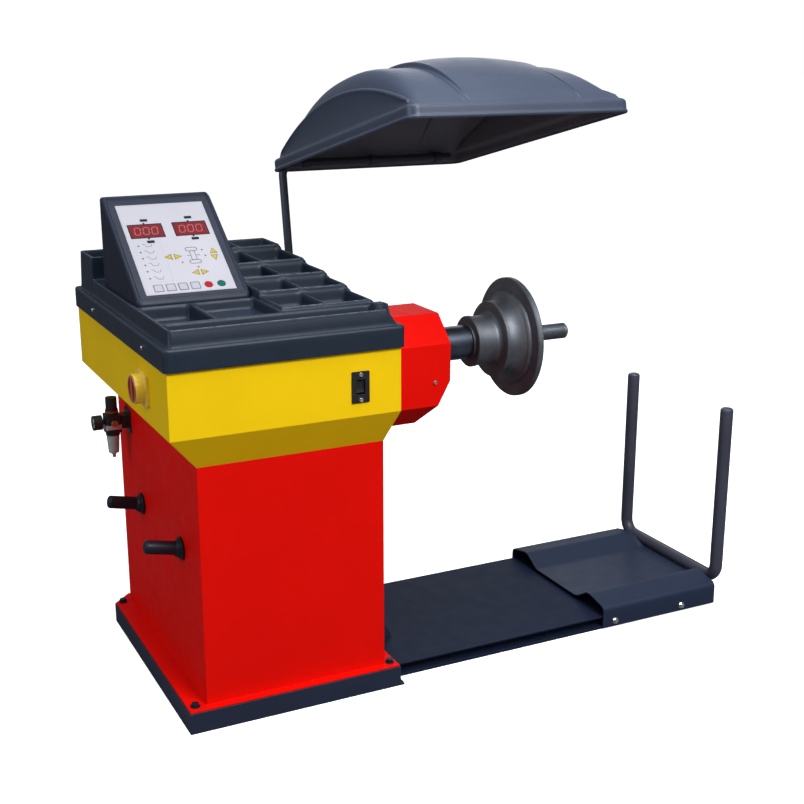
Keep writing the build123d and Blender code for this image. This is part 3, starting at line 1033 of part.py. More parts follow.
# ------------------------------------------------------------------ mains cable entry
with BuildPart() as cable_gland:
    bar_y(CAB_HALF_Y, CAB_HALF_Y + 4, GLAND_X, GLAND_Z, 15)
    with BuildSketch(Plane(origin=(GLAND_X, CAB_HALF_Y + 4, GLAND_Z), z_dir=(0, 1, 0))):
        RegularPolygon(14, 6)
    extrude(amount=10)
    bar_y(CAB_HALF_Y + 14, CAB_HALF_Y + 26, GLAND_X, GLAND_Z, 10)
    fillet(cable_gland.edges().filter_by(GeomType.CIRCLE).sort_by(Axis.Y)[-1], 4)
    bar_y(CAB_HALF_Y - 1, CAB_HALF_Y + 27, GLAND_X, GLAND_Z, GLAND_BORE, mode=Mode.SUBTRACT)
save(cable_gland, "cable_gland")
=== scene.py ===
import math

import bmesh
import bpy
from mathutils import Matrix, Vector


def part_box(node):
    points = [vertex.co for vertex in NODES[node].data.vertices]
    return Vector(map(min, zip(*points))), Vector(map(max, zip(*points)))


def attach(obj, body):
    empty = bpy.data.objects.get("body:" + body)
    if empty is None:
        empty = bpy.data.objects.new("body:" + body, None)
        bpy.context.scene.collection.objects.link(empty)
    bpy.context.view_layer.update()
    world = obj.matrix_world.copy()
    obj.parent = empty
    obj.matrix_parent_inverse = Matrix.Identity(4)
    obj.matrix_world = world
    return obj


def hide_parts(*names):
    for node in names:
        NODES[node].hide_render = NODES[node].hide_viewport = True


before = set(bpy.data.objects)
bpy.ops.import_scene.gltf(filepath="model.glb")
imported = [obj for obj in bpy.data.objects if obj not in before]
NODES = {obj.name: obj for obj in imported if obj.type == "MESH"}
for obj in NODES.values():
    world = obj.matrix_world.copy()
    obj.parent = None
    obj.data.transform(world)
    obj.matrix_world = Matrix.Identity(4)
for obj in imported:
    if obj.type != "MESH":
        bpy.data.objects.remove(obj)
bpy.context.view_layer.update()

MM = 0.001


# ---- materials
NOISE_RANGE = (0.3, 0.7)
PATCH_RANGE, GRAIN_RANGE, GRAIN_SHARE, GRAIN_LIFT, GRAIN_BUMP = (0.35, 0.65), (0.45, 0.75), 0.35, 2.2, 0.55
# where edges get a lighter colour: a painted highlight along the edges, with slight wear
EDGE_HIGHLIGHT_AND_WEAR_TURN, EDGE_HIGHLIGHT_AND_WEAR_SCALE, EDGE_HIGHLIGHT_AND_WEAR_RANGE = (0.02, 0.25), 60.0, (0.30, 0.60)
STAIN_SCALE, STAIN_RANGE, SPECK_SCALE, SPECK_RANGE = 18.0, (0.35, 0.7), 420.0, (0.54, 0.66)
MARK_SCALE, MARK_DEPTH = 140.0, 0.00008


def rgb(*screen):
    """Turn a colour of 0-255 screen values into the linear values a shader takes."""
    shares = [v / 255 for v in screen]
    return (*[v / 12.92 if v <= 0.04045 else ((v + 0.055) / 1.055) ** 2.4 for v in shares], 1.0)


def scaled(colour, k):
    """Make a colour darker or lighter."""
    return (*[min(v * k, 1) for v in colour[:3]], 1.0)


class Maker:
    """A material's node tree, with short calls for the nodes used here."""

    def __init__(self, name):
        self.mat = bpy.data.materials.new(name)
        self.mat.use_nodes = True
        self.tree = self.mat.node_tree
        self.tree.nodes.clear()
        self.bsdf = self.node("BsdfPrincipled")
        self.node("OutputMaterial", {"Surface": self.bsdf.outputs["BSDF"]})
        self.coords = self.node("TexCoord").outputs["Object"]

    def node(self, kind, inputs=()):
        node = self.tree.nodes.new("ShaderNode" + kind)
        self.feed(node, dict(inputs))
        return node

    def feed(self, node, inputs):
        """Give inputs of a node their values, each a socket to link or a plain value."""
        for name, value in inputs.items():
            if hasattr(value, "links"):
                self.tree.links.new(value, node.inputs[name])
            else:
                node.inputs[name].default_value = value

    def surface(self, inputs):
        """Set the surface's inputs and give the finished material."""
        self.feed(self.bsdf, inputs)
        return self.mat

    def noise(self, scale, detail=3.0, roughness=0.55, stretch=None):
        """Noise over the object's own coordinates, in features per metre."""
        where = self.coords
        if stretch:
            where = self.node("Mapping", {"Scale": stretch, "Vector": where}).outputs["Vector"]
        inputs = {"Scale": scale, "Detail": detail, "Roughness": roughness, "Vector": where}
        return self.node("TexNoise", inputs).outputs["Fac"]

    def remap(self, fac, source, target, kind="LINEAR"):
        """Spread the part of fac in the source range over the target range."""
        r = self.node("MapRange", {"From Min": source[0], "From Max": source[1], "To Min": target[0],
                                   "To Max": target[1], "Value": fac})
        r.interpolation_type = kind
        return r.outputs["Result"]

    def ramp(self, fac, source):
        """Softly spread the part of fac in the source range over 0 to 1."""
        return self.remap(fac, source, (0.0, 1.0), "SMOOTHSTEP")

    def spread(self, fac, target):
        """Spread the values that most noise has over the target range."""
        return self.remap(fac, NOISE_RANGE, target)

    def mix(self, fac, a, b):
        """Mix two colours, each a socket or a value."""
        m = self.node("Mix", {"Factor": fac})
        m.data_type = "RGBA"
        places = [i for i, socket in enumerate(m.inputs) if socket.type == "RGBA"]
        self.feed(m, dict(zip(places, (a, b))))
        return [socket for socket in m.outputs if socket.type == "RGBA"][0]

    def combine(self, operation, a, b):
        """Work out one number from two, each a socket or a value."""
        m = self.node("Math", {0: a, 1: b})
        m.operation = operation
        return m.outputs[0]

    def times(self, a, b):
        return self.combine("MULTIPLY", a, b)

    def edges(self, radius):
        """Normals rounded over the edges, and how much each place is an edge."""
        bevel = self.node("Bevel", {"Radius": radius})
        bevel.samples = 4
        normal, plain = bevel.outputs["Normal"], self.node("NewGeometry").outputs["Normal"]
        dot = self.node("VectorMath", {0: normal, 1: plain})
        dot.operation = "DOT_PRODUCT"
        return normal, self.combine("SUBTRACT", 1.0, dot.outputs["Value"])

    def bump(self, height, strength, distance, normal=None):
        inputs = {"Strength": strength, "Distance": distance, "Height": height}
        if normal is not None:
            inputs["Normal"] = normal
        return self.node("Bump", inputs).outputs["Normal"]


def coating(name, colour, tint, rough, patch=5.0, grain=420.0, depth=0.00012, edge=0.0022, edge_highlight_and_wear=None,
            edge_highlight_and_wear_amount=0.5, metallic=0.0, coat=0.0, specular=0.5):
    """A painted or moulded surface: slight colour patches, orange peel or grain, and lighter edges, which are
    a painted highlight along the edges that also stands for slight wear.

    tint is how far the patches' colour strays, rough the range of the roughness.
    """
    m = Maker(name)
    patches = m.ramp(m.noise(patch, 4.0), PATCH_RANGE)
    base = m.mix(patches, scaled(colour, 1 - tint), scaled(colour, 1 + tint))
    fine = m.noise(grain, 2.0, 0.6)
    grains = m.times(m.ramp(fine, GRAIN_RANGE), GRAIN_SHARE)
    base = m.mix(grains, base, scaled(colour, 1 + GRAIN_LIFT * tint))
    normal = None
    if edge:
        normal, turn = m.edges(edge)
        # lighter colour along the edges: a painted highlight, with some slight wear
        if edge_highlight_and_wear:
            highlight_and_wear_patches = m.times(m.ramp(m.noise(EDGE_HIGHLIGHT_AND_WEAR_SCALE, 4.0), EDGE_HIGHLIGHT_AND_WEAR_RANGE), edge_highlight_and_wear_amount)
            base = m.mix(m.times(m.ramp(turn, EDGE_HIGHLIGHT_AND_WEAR_TURN), highlight_and_wear_patches), base, edge_highlight_and_wear)
    return m.surface({"Base Color": base, "Roughness": m.spread(m.noise(patch * 4, 3.0), rough),
                      "Normal": m.bump(fine, GRAIN_BUMP, depth, normal), "Metallic": metallic,
                      "Coat Weight": coat, "Coat Roughness": 0.18, "Specular IOR Level": specular})


def metal(name, colour, rough, lay=(1, 1, 1), scratch=0.25, spots=0.0, edge=0.0008, dark=0.55):
    """Bare metal: machining marks along one axis, darker spots and soft stains."""
    m = Maker(name)
    stains = m.ramp(m.noise(STAIN_SCALE, 5.0), STAIN_RANGE)
    base = m.mix(stains, scaled(colour, 1.08), scaled(colour, 0.82))
    if spots:
        specks = m.ramp(m.noise(SPECK_SCALE, 3.0, 0.7), SPECK_RANGE)
        base = m.mix(m.times(specks, spots), base, scaled(colour, dark))
    marks = m.noise(MARK_SCALE, 5.0, 0.7, lay)
    normal = m.edges(edge)[0] if edge else None
    return m.surface({"Base Color": base, "Roughness": m.spread(marks, rough), "Metallic": 1.0,
                      "Normal": m.bump(marks, scratch, MARK_DEPTH, normal)})


def lit(name, colour, strength):
    """A lit segment behind a filter: slightly uneven light."""
    m = Maker(name)
    glow = m.mix(m.ramp(m.noise(900.0, 2.0), NOISE_RANGE), scaled(colour, 0.8), colour)
    return m.surface({"Base Color": glow, "Emission Color": glow, "Emission Strength": strength,
                      "Roughness": 0.3})


def clear_bowl():
    """Grey translucent plastic that shows what is in the bowl."""
    m = Maker("bowl_clear")
    base = m.mix(m.ramp(m.noise(30.0, 3.0), NOISE_RANGE), rgb(206, 212, 216), rgb(228, 232, 234))
    return m.surface({"Base Color": base, "Roughness": m.spread(m.noise(60.0), (0.12, 0.25)),
                      "Transmission Weight": 0.55, "IOR": 1.45})


RED, YELLOW = (0.78, 0.0035, 0.001, 1), (0.90, 0.58, 0.004, 1)
PAINT = {"tint": 0.02, "rough": (0.5, 0.6), "edge_highlight_and_wear_amount": 0.15, "specular": 0.07}
SHEET_PAINT = {"rough": (0.46, 0.54), "grain": 650.0, "specular": 0.3}
GUARD = {"tint": 0.06, "grain": 1000.0, "depth": 0.0002, "edge": 0.0, "patch": 4.0}
SATIN = {"rough": (0.4, 0.5), "grain": 1500.0}
KEY = {"tint": 0.06, "rough": (0.45, 0.55), "grain": 1500.0, "depth": 0.00003, "edge": 0.001, "specular": 0.1}
PRINT = {"grain": 1500.0, "depth": 0.00002, "edge": 0.0}
SWITCH = {"grain": 900.0, "depth": 0.00006, "coat": 0.3}
# each lighter edge colour below paints a highlight along the edges, with slight wear
MATS = {
    "red": coating("red_paint", RED, edge_highlight_and_wear=rgb(236, 50, 34), **PAINT),
    "yellow": coating("yellow_paint", YELLOW, edge_highlight_and_wear=rgb(252, 220, 80), **PAINT),
    "navy": coating(
        "navy_paint", rgb(32, 41, 60), 0.05, edge_highlight_and_wear=rgb(92, 102, 126), edge_highlight_and_wear_amount=0.35, **SHEET_PAINT),
    "sheet": coating("sheet_paint", rgb(30, 41, 64), 0.04, edge=0.0, **SHEET_PAINT),
    "track": coating(
        "track_paint", rgb(24, 33, 54), 0.02, (0.55, 0.62), grain=650.0,
        edge_highlight_and_wear=rgb(80, 92, 118), edge_highlight_and_wear_amount=0.3, specular=0.12),
    "case": coating(
        "case_plastic", rgb(22, 29, 46), 0.04, (0.42, 0.50), grain=900.0, depth=0.00014,
        edge=0.0, specular=0.26),
    # the tray's strong lighter edge colour is a painted highlight along its edges
    "tray": coating(
        "tray_plastic", rgb(26, 37, 52), 0.05, (0.42, 0.52), grain=900.0, depth=0.00016,
        edge=0.0045, edge_highlight_and_wear=rgb(112, 124, 144), edge_highlight_and_wear_amount=0.8, specular=0.35),
    "hood": coating("hood_plastic", rgb(57, 66, 85), rough=(0.36, 0.46), specular=0.45, **GUARD),
    "hood_inner": coating("hood_inside", rgb(116, 120, 130), rough=(0.5, 0.6), specular=0.3, **GUARD),
    "black": coating("black_plastic", rgb(24, 24, 27), 0.15, (0.35, 0.5), grain=900.0, edge=0.0008),
    "pegs": coating("peg_paint", rgb(18, 24, 36), 0.1, (0.4, 0.5), grain=500.0, edge=0.0012, specular=0.3),
    "tube": coating("tube_paint", rgb(58, 60, 74), 0.12, (0.35, 0.48), grain=700.0, edge=0.0),
    "cast": metal("cast_disc", rgb(122, 126, 133), (0.50, 0.66), lay=(6, 1, 1), scratch=0.5, spots=0.7),
    "shaft": metal("shaft_steel", rgb(92, 100, 114), (0.30, 0.45), lay=(8, 1, 1), spots=0.25),
    "thread": metal("thread_steel", rgb(128, 133, 142), (0.42, 0.58), spots=0.5, edge=0.0, dark=0.5),
    "bright": metal("bright_steel", rgb(214, 214, 214), (0.16, 0.3), edge=0.0005),
    "steel": metal("plain_steel", rgb(158, 160, 164), (0.25, 0.42), lay=(1, 6, 1)),
    "alloy": metal("cast_alloy", rgb(150, 154, 158), (0.42, 0.6), scratch=0.4, spots=0.2),
    "brass": metal("plated_brass", rgb(196, 170, 112), (0.22, 0.36)),
    "rubber": coating("belt_rubber", rgb(26, 26, 28), 0.2, (0.6, 0.75), grain=700.0, edge=0.0006),
    "film": coating(
        "panel_film", rgb(158, 156, 163), 0.02, (0.28, 0.36), grain=1500.0, depth=0.00003, edge=0.0003),
    "key_white": coating(
        "key_white", rgb(160, 158, 168), 0.03, depth=0.00003, edge=0.0008, specular=0.2, **SATIN),
    "key_red": coating("key_red", rgb(150, 20, 26), **KEY),
    "key_teal": coating("key_teal", rgb(12, 84, 72), **KEY),
    "window": coating(
        "red_window", rgb(104, 16, 24), 0.08, depth=0.00002, edge=0.0005, specular=0.12, **SATIN),
    "board": coating("circuit_board", rgb(30, 92, 54), 0.15, (0.35, 0.5), grain=700.0, edge=0.0004),
    "switch_yellow": coating(
        "switch_yellow", rgb(255, 216, 76), 0.05, (0.22, 0.32), edge_highlight_and_wear=rgb(255, 236, 160),
        edge_highlight_and_wear_amount=0.3, **SWITCH),
    "switch_red": coating("switch_red", rgb(186, 84, 56), 0.08, (0.25, 0.38), edge=0.0015, **SWITCH),
    "needle": coating("needle_paint", rgb(20, 20, 22), 0.2, (0.4, 0.5), edge=0.0),
    "ink": coating("panel_ink", rgb(26, 26, 34), 0.1, (0.5, 0.6), specular=0.1, **PRINT),
    "ink_yellow": coating("panel_yellow", rgb(170, 148, 22), 0.06, (0.4, 0.5), specular=0.12, **PRINT),
    "ink_grey": coating("panel_grey", rgb(150, 150, 166), 0.06, (0.4, 0.5), **PRINT),
    "ink_red": coating("panel_red", rgb(96, 34, 40), 0.06, (0.3, 0.4), **PRINT),
    "dial": coating("dial_white", rgb(236, 236, 230), 0.03, (0.4, 0.5), **PRINT),
    "ring": coating("ring_red", rgb(140, 48, 34), 0.08, (0.3, 0.42), edge=0.0),
    "silver": coating("silver_label", rgb(196, 198, 204), 0.04, (0.25, 0.4), edge=0.0, metallic=0.6),
    "digits": lit("lit_digits", rgb(158, 46, 46), 0.06),
    "led": lit("lit_dot", rgb(64, 24, 30), 0.02),
    "bowl": clear_bowl(),
}

# the finish of each node of the CAD, which a rebuilt piece may replace
FINISH = {
    "red": "cabinet_shell rear_door shaft_housing",
    "yellow": "head_shell",
    "track": "lift_track",
    "navy": "base_pan hood_bearings lift_slider carriage_pan spindle_support motor_bracket power_box",
    "tray": "weight_tray console_housing",
    "hood": "hood_shell",
    "tube": "hood_arm u_bar hood_clips",
    "pegs": "storage_peg_front storage_peg_rear flange_bolts",
    "black": "cable_gland regulator_body regulator_knob gauge_case lift_switch_plate lift_rocker "
             "encoder_disc",
    "cast": "spindle_hub wheel_disc",
    "shaft": "bearing_tube spindle_shaft lift_columns lift_rod",
    "thread": "spindle_screw",
    "bright": "panel_screws axle_bolts force_sensors",
    "steel": "spindle_bearings carriage_rollers_inner carriage_rollers_outer",
    "alloy": "drive_motor driven_pulley motor_pulley lift_cylinder",
    "brass": "air_fittings",
    "rubber": "drive_belt",
    "film": "console_panel",
    "key_white": "key_a key_b key_c key_d",
    "key_red": "key_stop",
    "key_teal": "key_start",
    "window": "display_windows",
    "board": "display_board",
    "switch_yellow": "main_switch_body",
    "switch_red": "main_switch_knob",
    "needle": "gauge_needle",
    "bowl": "filter_bowl",
}
for finish, names in FINISH.items():
    for node in names.split():
        for material_slot in NODES[node].material_slots:
            material_slot.material = MATS[finish]


# ---- mesh helpers
# a rounding takes at most this share of a side
ROUND_SHARE = 0.48
SQUARE = ((-1, -1), (1, -1), (1, 1), (-1, 1))


def add_object(name, data):
    obj = bpy.data.objects.new(name, data)
    bpy.context.scene.collection.objects.link(obj)
    return obj


def piece(name, verts, faces, mat, body, slot, smooth=True, replaces=()):
    """Make a mesh object from points in millimetres and hang it on a body."""
    mesh = bpy.data.meshes.new(name)
    mesh.from_pydata([Vector(v) * MM for v in verts], [], faces)
    bm = bmesh.new()
    bm.from_mesh(mesh)
    bmesh.ops.remove_doubles(bm, verts=bm.verts, dist=1e-7)
    bmesh.ops.recalc_face_normals(bm, faces=bm.faces)
    bm.to_mesh(mesh)
    bm.free()
    mesh.materials.append(MATS[mat])
    obj = add_object(name, mesh)
    if smooth:
        mesh.shade_smooth()
        sharpen(obj)
    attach(obj, body)
    if replaces:
        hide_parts(*replaces)
    return obj


def sharpen(obj, angle=40.0):
    """Keep edges sharper than angle crisp under smooth shading."""
    bm = bmesh.new()
    bm.from_mesh(obj.data)
    for e in bm.edges:
        if len(e.link_faces) == 2:
            e.smooth = e.calc_face_angle(0) < math.radians(angle)
    bm.to_mesh(obj.data)
    bm.free()


def rounded(points, radius, steps=4):
    """Round the inner corners of an open line of (a, b) points."""
    out, places = [points[0]], [Vector(point) for point in points]
    for p, q, r in zip(places, places[1:], places[2:]):
        into, away = p - q, r - q
        reach = min(radius, into.length * ROUND_SHARE, away.length * ROUND_SHARE)
        a, b = q + into.normalized() * reach, q + away.normalized() * reach
        for i in range(steps + 1):
            t = i / steps
            out.append(tuple((1 - t) ** 2 * a + 2 * t * (1 - t) * q + t ** 2 * b))
    out.append(points[-1])
    return out


def quarter(radius, steps):
    """Ways in and down from a square edge to a quarter round over it, from its foot to its top."""
    angles = [math.pi / 2 * k / steps for k in range(steps + 1)]
    return [(radius * (1 - math.cos(a)), radius * (1 - math.sin(a))) for a in angles]


def ring_points(centre, side, up, radius, turns):
    """Points of a circle about a centre, in the plane of two directions."""
    angles = [2 * math.pi * i / turns for i in range(turns)]
    return [centre + (side * math.cos(a) + up * math.sin(a)) * radius for a in angles]


def band_faces(a, b, count):
    """Faces between two closed rings of count points, which start at a and b."""
    return [(a + i, a + (i + 1) % count, b + (i + 1) % count, b + i) for i in range(count)]


def ring_faces(rings, turns):
    """Faces of a closed bar whose points are stored ring by ring."""
    last = (rings - 1) * turns
    faces = [face for a in range(0, last, turns) for face in band_faces(a, a + turns, turns)]
    return faces + [tuple(range(turns)), tuple(reversed(range(last, last + turns)))]


def lathe(profile, origin, direction, turns=48):
    """Points and faces of (along, radius) points turned about an axis, with the ends closed."""
    axis = Vector(direction).normalized()
    side = axis.orthogonal().normalized()
    up = axis.cross(side)
    verts = []
    for along, radius in profile:
        verts += ring_points(Vector(origin) + axis * along, side, up, radius, turns)
    return verts, ring_faces(len(profile), turns)


def joined(*shapes):
    """Put several (points, faces) together."""
    verts, faces = [], []
    for points, sides in shapes:
        faces += [tuple(i + len(verts) for i in side) for side in sides]
        verts += points
    return verts, faces


def tube(path, radius, end, turns=28):
    """Points and faces of a round bar along a path, with ends rounded by end."""
    path = [Vector(p) for p in path]
    rings = []
    for before, p, after in zip(path[:1] + path, path, path[1:] + path[-1:]):
        rings.append((p, (after - before).normalized(), radius))
    caps = []
    for (p, d, _), sign in ((rings[0], -1), (rings[-1], 1)):
        caps.append([(p - d * sign * inset, d, radius - drop) for drop, inset in quarter(end, 4)])
    rings = caps[0][::-1] + rings[1:-1] + caps[1]
    side = rings[0][1].orthogonal().normalized()
    verts = []
    for p, d, r in rings:
        side = (side - d * side.dot(d)).normalized()
        verts += ring_points(p, side, d.cross(side), r, turns)
    return verts, ring_faces(len(rings), turns)


def bent(points, radius, steps=10, run=6):
    """Path through points with round bends, as closely spaced points."""
    points = [Vector(point) for point in points]
    out = points[:1]
    for p, q, r in zip(points, points[1:], points[2:]):
        u, v = (p - q).normalized(), (r - q).normalized()
        half = u.angle(v) / 2
        reach = radius / math.tan(half)
        centre = q + (u + v).normalized() * (radius / math.sin(half))
        a, b = q + u * reach, q + v * reach
        start = out[-1]
        out += [start.lerp(a, k / run) for k in range(1, run)]
        for k in range(steps + 1):
            t = k / steps
            out.append(centre + (a - centre).slerp(b - centre, t).normalized() * radius)
    start = out[-1]
    out += [start.lerp(points[-1], k / run) for k in range(1, run + 1)]
    return out


def box_shape(x0, x1, y0, y1, z0, z1, radius, steps=2):
    """Points and faces of a box with rounded edges."""
    bm = bmesh.new()
    bmesh.ops.create_cube(bm, size=1.0)
    for v in bm.verts:
        v.co = Vector(((x0 + x1) / 2 + v.co.x * (x1 - x0), (y0 + y1) / 2 + v.co.y * (y1 - y0),
                       (z0 + z1) / 2 + v.co.z * (z1 - z0)))
    bmesh.ops.bevel(bm, geom=list(bm.edges), offset=radius, segments=steps, profile=0.5, affect="EDGES")
    bm.verts.index_update()
    verts = [v.co.copy() for v in bm.verts]
    faces = [tuple(v.index for v in f.verts) for f in bm.faces]
    bm.free()
    return verts, faces


def grid_faces(rows, cols):
    """Faces of a grid of points stored row by row."""
    return [(r * cols + c, r * cols + c + 1, (r + 1) * cols + c + 1, (r + 1) * cols + c)
            for r in range(rows - 1) for c in range(cols - 1)]


def thicken(obj, amount, crisp, inner=0):
    """Give a sheet its thickness in millimetres, with edges over crisp degrees kept sharp.

    inner is added to the material's number on the inner side.
    """
    mod = obj.modifiers.new("thick", "SOLIDIFY")
    mod.material_offset = inner
    mod.thickness = amount * MM
    mod.offset = -1
    shown = obj.evaluated_get(bpy.context.evaluated_depsgraph_get())
    mesh = bpy.data.meshes.new_from_object(shown)
    obj.modifiers.clear()
    obj.data = mesh
    mesh.shade_smooth()
    sharpen(obj, crisp)


def smoothstep(t):
    t = min(max(t, 0.0), 1.0)
    return t * t * (3 - 2 * t)


# ---- wheel guard
def node_mm(node):
    low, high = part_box(node)
    return [v / MM for v in low], [v / MM for v in high]


TILT = math.radians(12.8)
HOOD_LEFT, HOOD_RIGHT = 305.0, 950.0
HOOD_DEPTH, RIM_H = 958.0, 38.0
HOOD_REAR_Y, HOOD_REAR_Z = 522.0, 1294.0
BAND_LEFT, BAND_RIGHT = 475.0, 803.0
END_RISE, SHOULDER_RISE, BAND_EDGE, BAND_CREST = 101.0, 156.0, 173.0, 186.0
SHOULDER_BEND, SHOULDER_CROWD, BEAD_GAP = 14.0, 1.7, 2.0
WALL_IN, DOME_IN = 14.0, 10.0
RIM_ROUND, CORNER_ROUND = 10.0, 28.0
CORNER_DROP = 0.04
END_FULLNESS, TOP_FULLNESS = 2.05, 2.45
# the end wall's start and height as shares of END_RISE, its hollow, and the gap at its foot
WALL_FROM, WALL_SHARE, WALL_HOLLOW, WALL_GAP = 0.02, 0.90, 2.0, 2.0
# the bead on the end wall goes round from one angle to another, given in half turns
BEAD_R, BEAD_IN, BEAD_SINK, BEAD_FROM, BEAD_TURN = 6.5, 5.0, 2.5, 1.05, 0.80
# the step up to the band, with the ridge and the steep part as shares of its width
STEP_HALF, RIDGE_H, RIDGE_AT, RIDGE_WIDTH, STEEP_FROM, STEEP_WIDTH = 11.0, 3.6, 0.2, 0.07, 0.76, 0.18
SKIN = 3.6
# heights over the rim below which the dome's forms fade out
LEAN_H, BEAD_FADE_H = 20, 25
UNLIMITED = 1e6
# heights of the rim's lower part, which has a rolled bead at its foot
RIM_FOOT = (0.0, 1.5, 3.2, 5.0, 6.8, 8.5, 10.0, 14.0, 19.0, 23.0)
ROLL_OUT, ROLL_H = 2.8, 10.0


def hood_point(x, u, h):
    """Place of a point that lies u in front of the guard's rear rim and h over its rim plane."""
    return (x, HOOD_REAR_Y - u * math.cos(TILT) + h * math.sin(TILT),
            HOOD_REAR_Z + u * math.sin(TILT) + h * math.cos(TILT))


def arch(u, crest):
    """Height over the rim of an arch that springs from both ends and is fuller than a circle."""
    s = abs(u - HOOD_DEPTH / 2) / (HOOD_DEPTH / 2 - DOME_IN)
    share = min(max((crest - END_RISE) / (SHOULDER_RISE - END_RISE), 0), 1)
    fullness = END_FULLNESS + (TOP_FULLNESS - END_FULLNESS) * share
    return crest * (1 - s ** fullness) if s < 1 else 0.0


def half_guard(edge, inward, band, middle):
    """Stations from a side rim to the middle, each with its x on the dome and its x on the flat rim.

    A station is (x, height of the rim, crest of the arch, extra height, x on the rim).
    """
    out = [(edge, height, 0.0, 0.0) for height in RIM_FOOT]
    out += [(edge + inward * into, RIM_H - down, 0.0, 0.0) for into, down in quarter(RIM_ROUND, 5)]
    foot = edge + inward * WALL_IN
    out.append((foot - inward * WALL_GAP, RIM_H, 0.0, 0.0))
    folded = len(out)
    # end wall, hollow between the rim and the bead
    for k in range(12):
        share = WALL_FROM + WALL_SHARE * k / 11
        hollow = WALL_HOLLOW * math.sin(math.pi * share) - 1
        out.append((foot + inward * hollow, RIM_H, END_RISE * share, 0.0))
    for k in range(10):
        a = math.pi * (BEAD_FROM - BEAD_TURN * k / 9)
        out.append((foot + inward * (BEAD_IN + BEAD_R * math.cos(a)), RIM_H, END_RISE,
                    BEAD_R * math.sin(a) - BEAD_SINK))
    # shoulder, which bends over from the bead to nearly level
    count = len(out) - folded
    start, stop = foot + inward * (BEAD_IN + BEAD_R + BEAD_GAP), band - inward * STEP_HALF
    low = END_RISE - BEAD_GAP
    for k in range(17):
        x = start + (stop - start) * (k / 16) ** SHOULDER_CROWD
        bend = 1 - math.exp(-abs(x - start) / SHOULDER_BEND)
        out.append((x, RIM_H, low + (SHOULDER_RISE - low) * bend, 0.0))
    # a low ridge, then a steep step up to the band
    for k in range(1, 24):
        t = k / 24
        climb = smoothstep((t - STEEP_FROM) / STEEP_WIDTH)
        ridge = RIDGE_H * math.exp(-((t - RIDGE_AT) / RIDGE_WIDTH) ** 2)
        crest = SHOULDER_RISE + (BAND_EDGE - SHOULDER_RISE) * climb
        out.append((stop + inward * 2 * STEP_HALF * t, RIM_H, crest, ridge))
    first = band + inward * STEP_HALF
    for k in range(9):
        x = first + (middle - first) * k / 8
        away = (middle - x) / (middle - first)
        out.append((x, RIM_H, BAND_CREST - (BAND_CREST - BAND_EDGE) * away ** 2, 0.0))
    # on the flat rim, the end wall and its bead lie in even steps
    level = [station[0] for station in out]
    first = foot - inward
    for k in range(count):
        level[folded + k] = first + (start - first) * k / count
    return [station + (x,) for station, x in zip(out, level)]


def along_stations():
    """Stations along the guard's depth: (u, height limit of the rim there)."""
    out = [(0.0, height) for height in RIM_FOOT]
    out += [(into, RIM_H - down) for into, down in quarter(RIM_ROUND, 5)]
    out += [(DOME_IN + d, UNLIMITED) for d in (0, 1.5, 4, 8, 13, 19, 27, 37)]
    last, count = out[-1][0], 44
    out += [(last + (HOOD_DEPTH / 2 - last) * k / count, UNLIMITED) for k in range(1, count + 1)]
    return out + [(HOOD_DEPTH - u, h) for u, h in reversed(out[:-1])]


def round_corner(x, u, h):
    """Pull the rim's square corners in to a round plan and roll its foot outwards."""
    cx = min(max(x, HOOD_LEFT + CORNER_ROUND), HOOD_RIGHT - CORNER_ROUND)
    cu = min(max(u, CORNER_ROUND), HOOD_DEPTH - CORNER_ROUND)
    dx, du = x - cx, u - cu
    reach, length = max(abs(dx), abs(du)), math.hypot(dx, du)
    if not length:
        return x, u, h
    on_rim = reach > CORNER_ROUND - 0.01 and 0 < h < ROLL_H
    roll = ROLL_OUT * math.sin(math.pi * h / ROLL_H) if on_rim else 0.0
    k = (reach + roll) / length
    corner = min(abs(dx), abs(du)) / CORNER_ROUND
    return cx + dx * k, cu + du * k, h * (1 - CORNER_DROP * corner ** 2)


def build_guard():
    middle = (BAND_LEFT + BAND_RIGHT) / 2
    left = half_guard(HOOD_LEFT, 1, BAND_LEFT, middle)
    right = half_guard(HOOD_RIGHT, -1, BAND_RIGHT, middle)
    stations = left + right[-2::-1]
    along = along_stations()
    verts = []
    for u, limit in along:
        lean = min(arch(u, END_RISE) / LEAN_H, 1)
        for x, base, crest, extra, level in stations:
            height = arch(u, crest)
            x = level + (x - level) * lean
            h = min(base + height + extra * min(height / BEAD_FADE_H, 1), limit)
            verts.append(hood_point(*round_corner(x, u, h)))
    guard = piece("guard_shell", verts, grid_faces(len(along), len(stations)), "hood", "hood",
                  replaces=("hood_shell",), slot="hood_plastic")
    guard.data.materials.append(MATS["hood_inner"])
    thicken(guard, SKIN, 50, inner=1)


build_guard()

# ---- weight tray
TRAY_LOW, TRAY_HIGH = node_mm("weight_tray")
HEAD_LEFT, HEAD_RIGHT, HEAD_FRONT, HEAD_REAR = -330.0, 270.0, -432.0, 446.0
LIP_TOP, TRAY_TOP, TRAY_EDGE, TRAY_CORNER, TRAY_SKIN = 1008.0, 1049.0, 6.0, 14.0, 3.0
TOP_LEFT, TOP_RIGHT = HEAD_LEFT + 8, HEAD_RIGHT - 4
TOP_FRONT, TOP_REAR = HEAD_FRONT + 5, HEAD_REAR - 8
ROW_LINES = (-328.0, -172.0, -38.0, 112.0, 300.0)
ROW_TOPS = (1059.0, 1072.0, 1085.0, 1098.0, 1111.0)
ROW_LEFT, DIVIDER_X, RIB, SLOPE_WIDTH = -4.0, 112.0, 4.5, 30.0
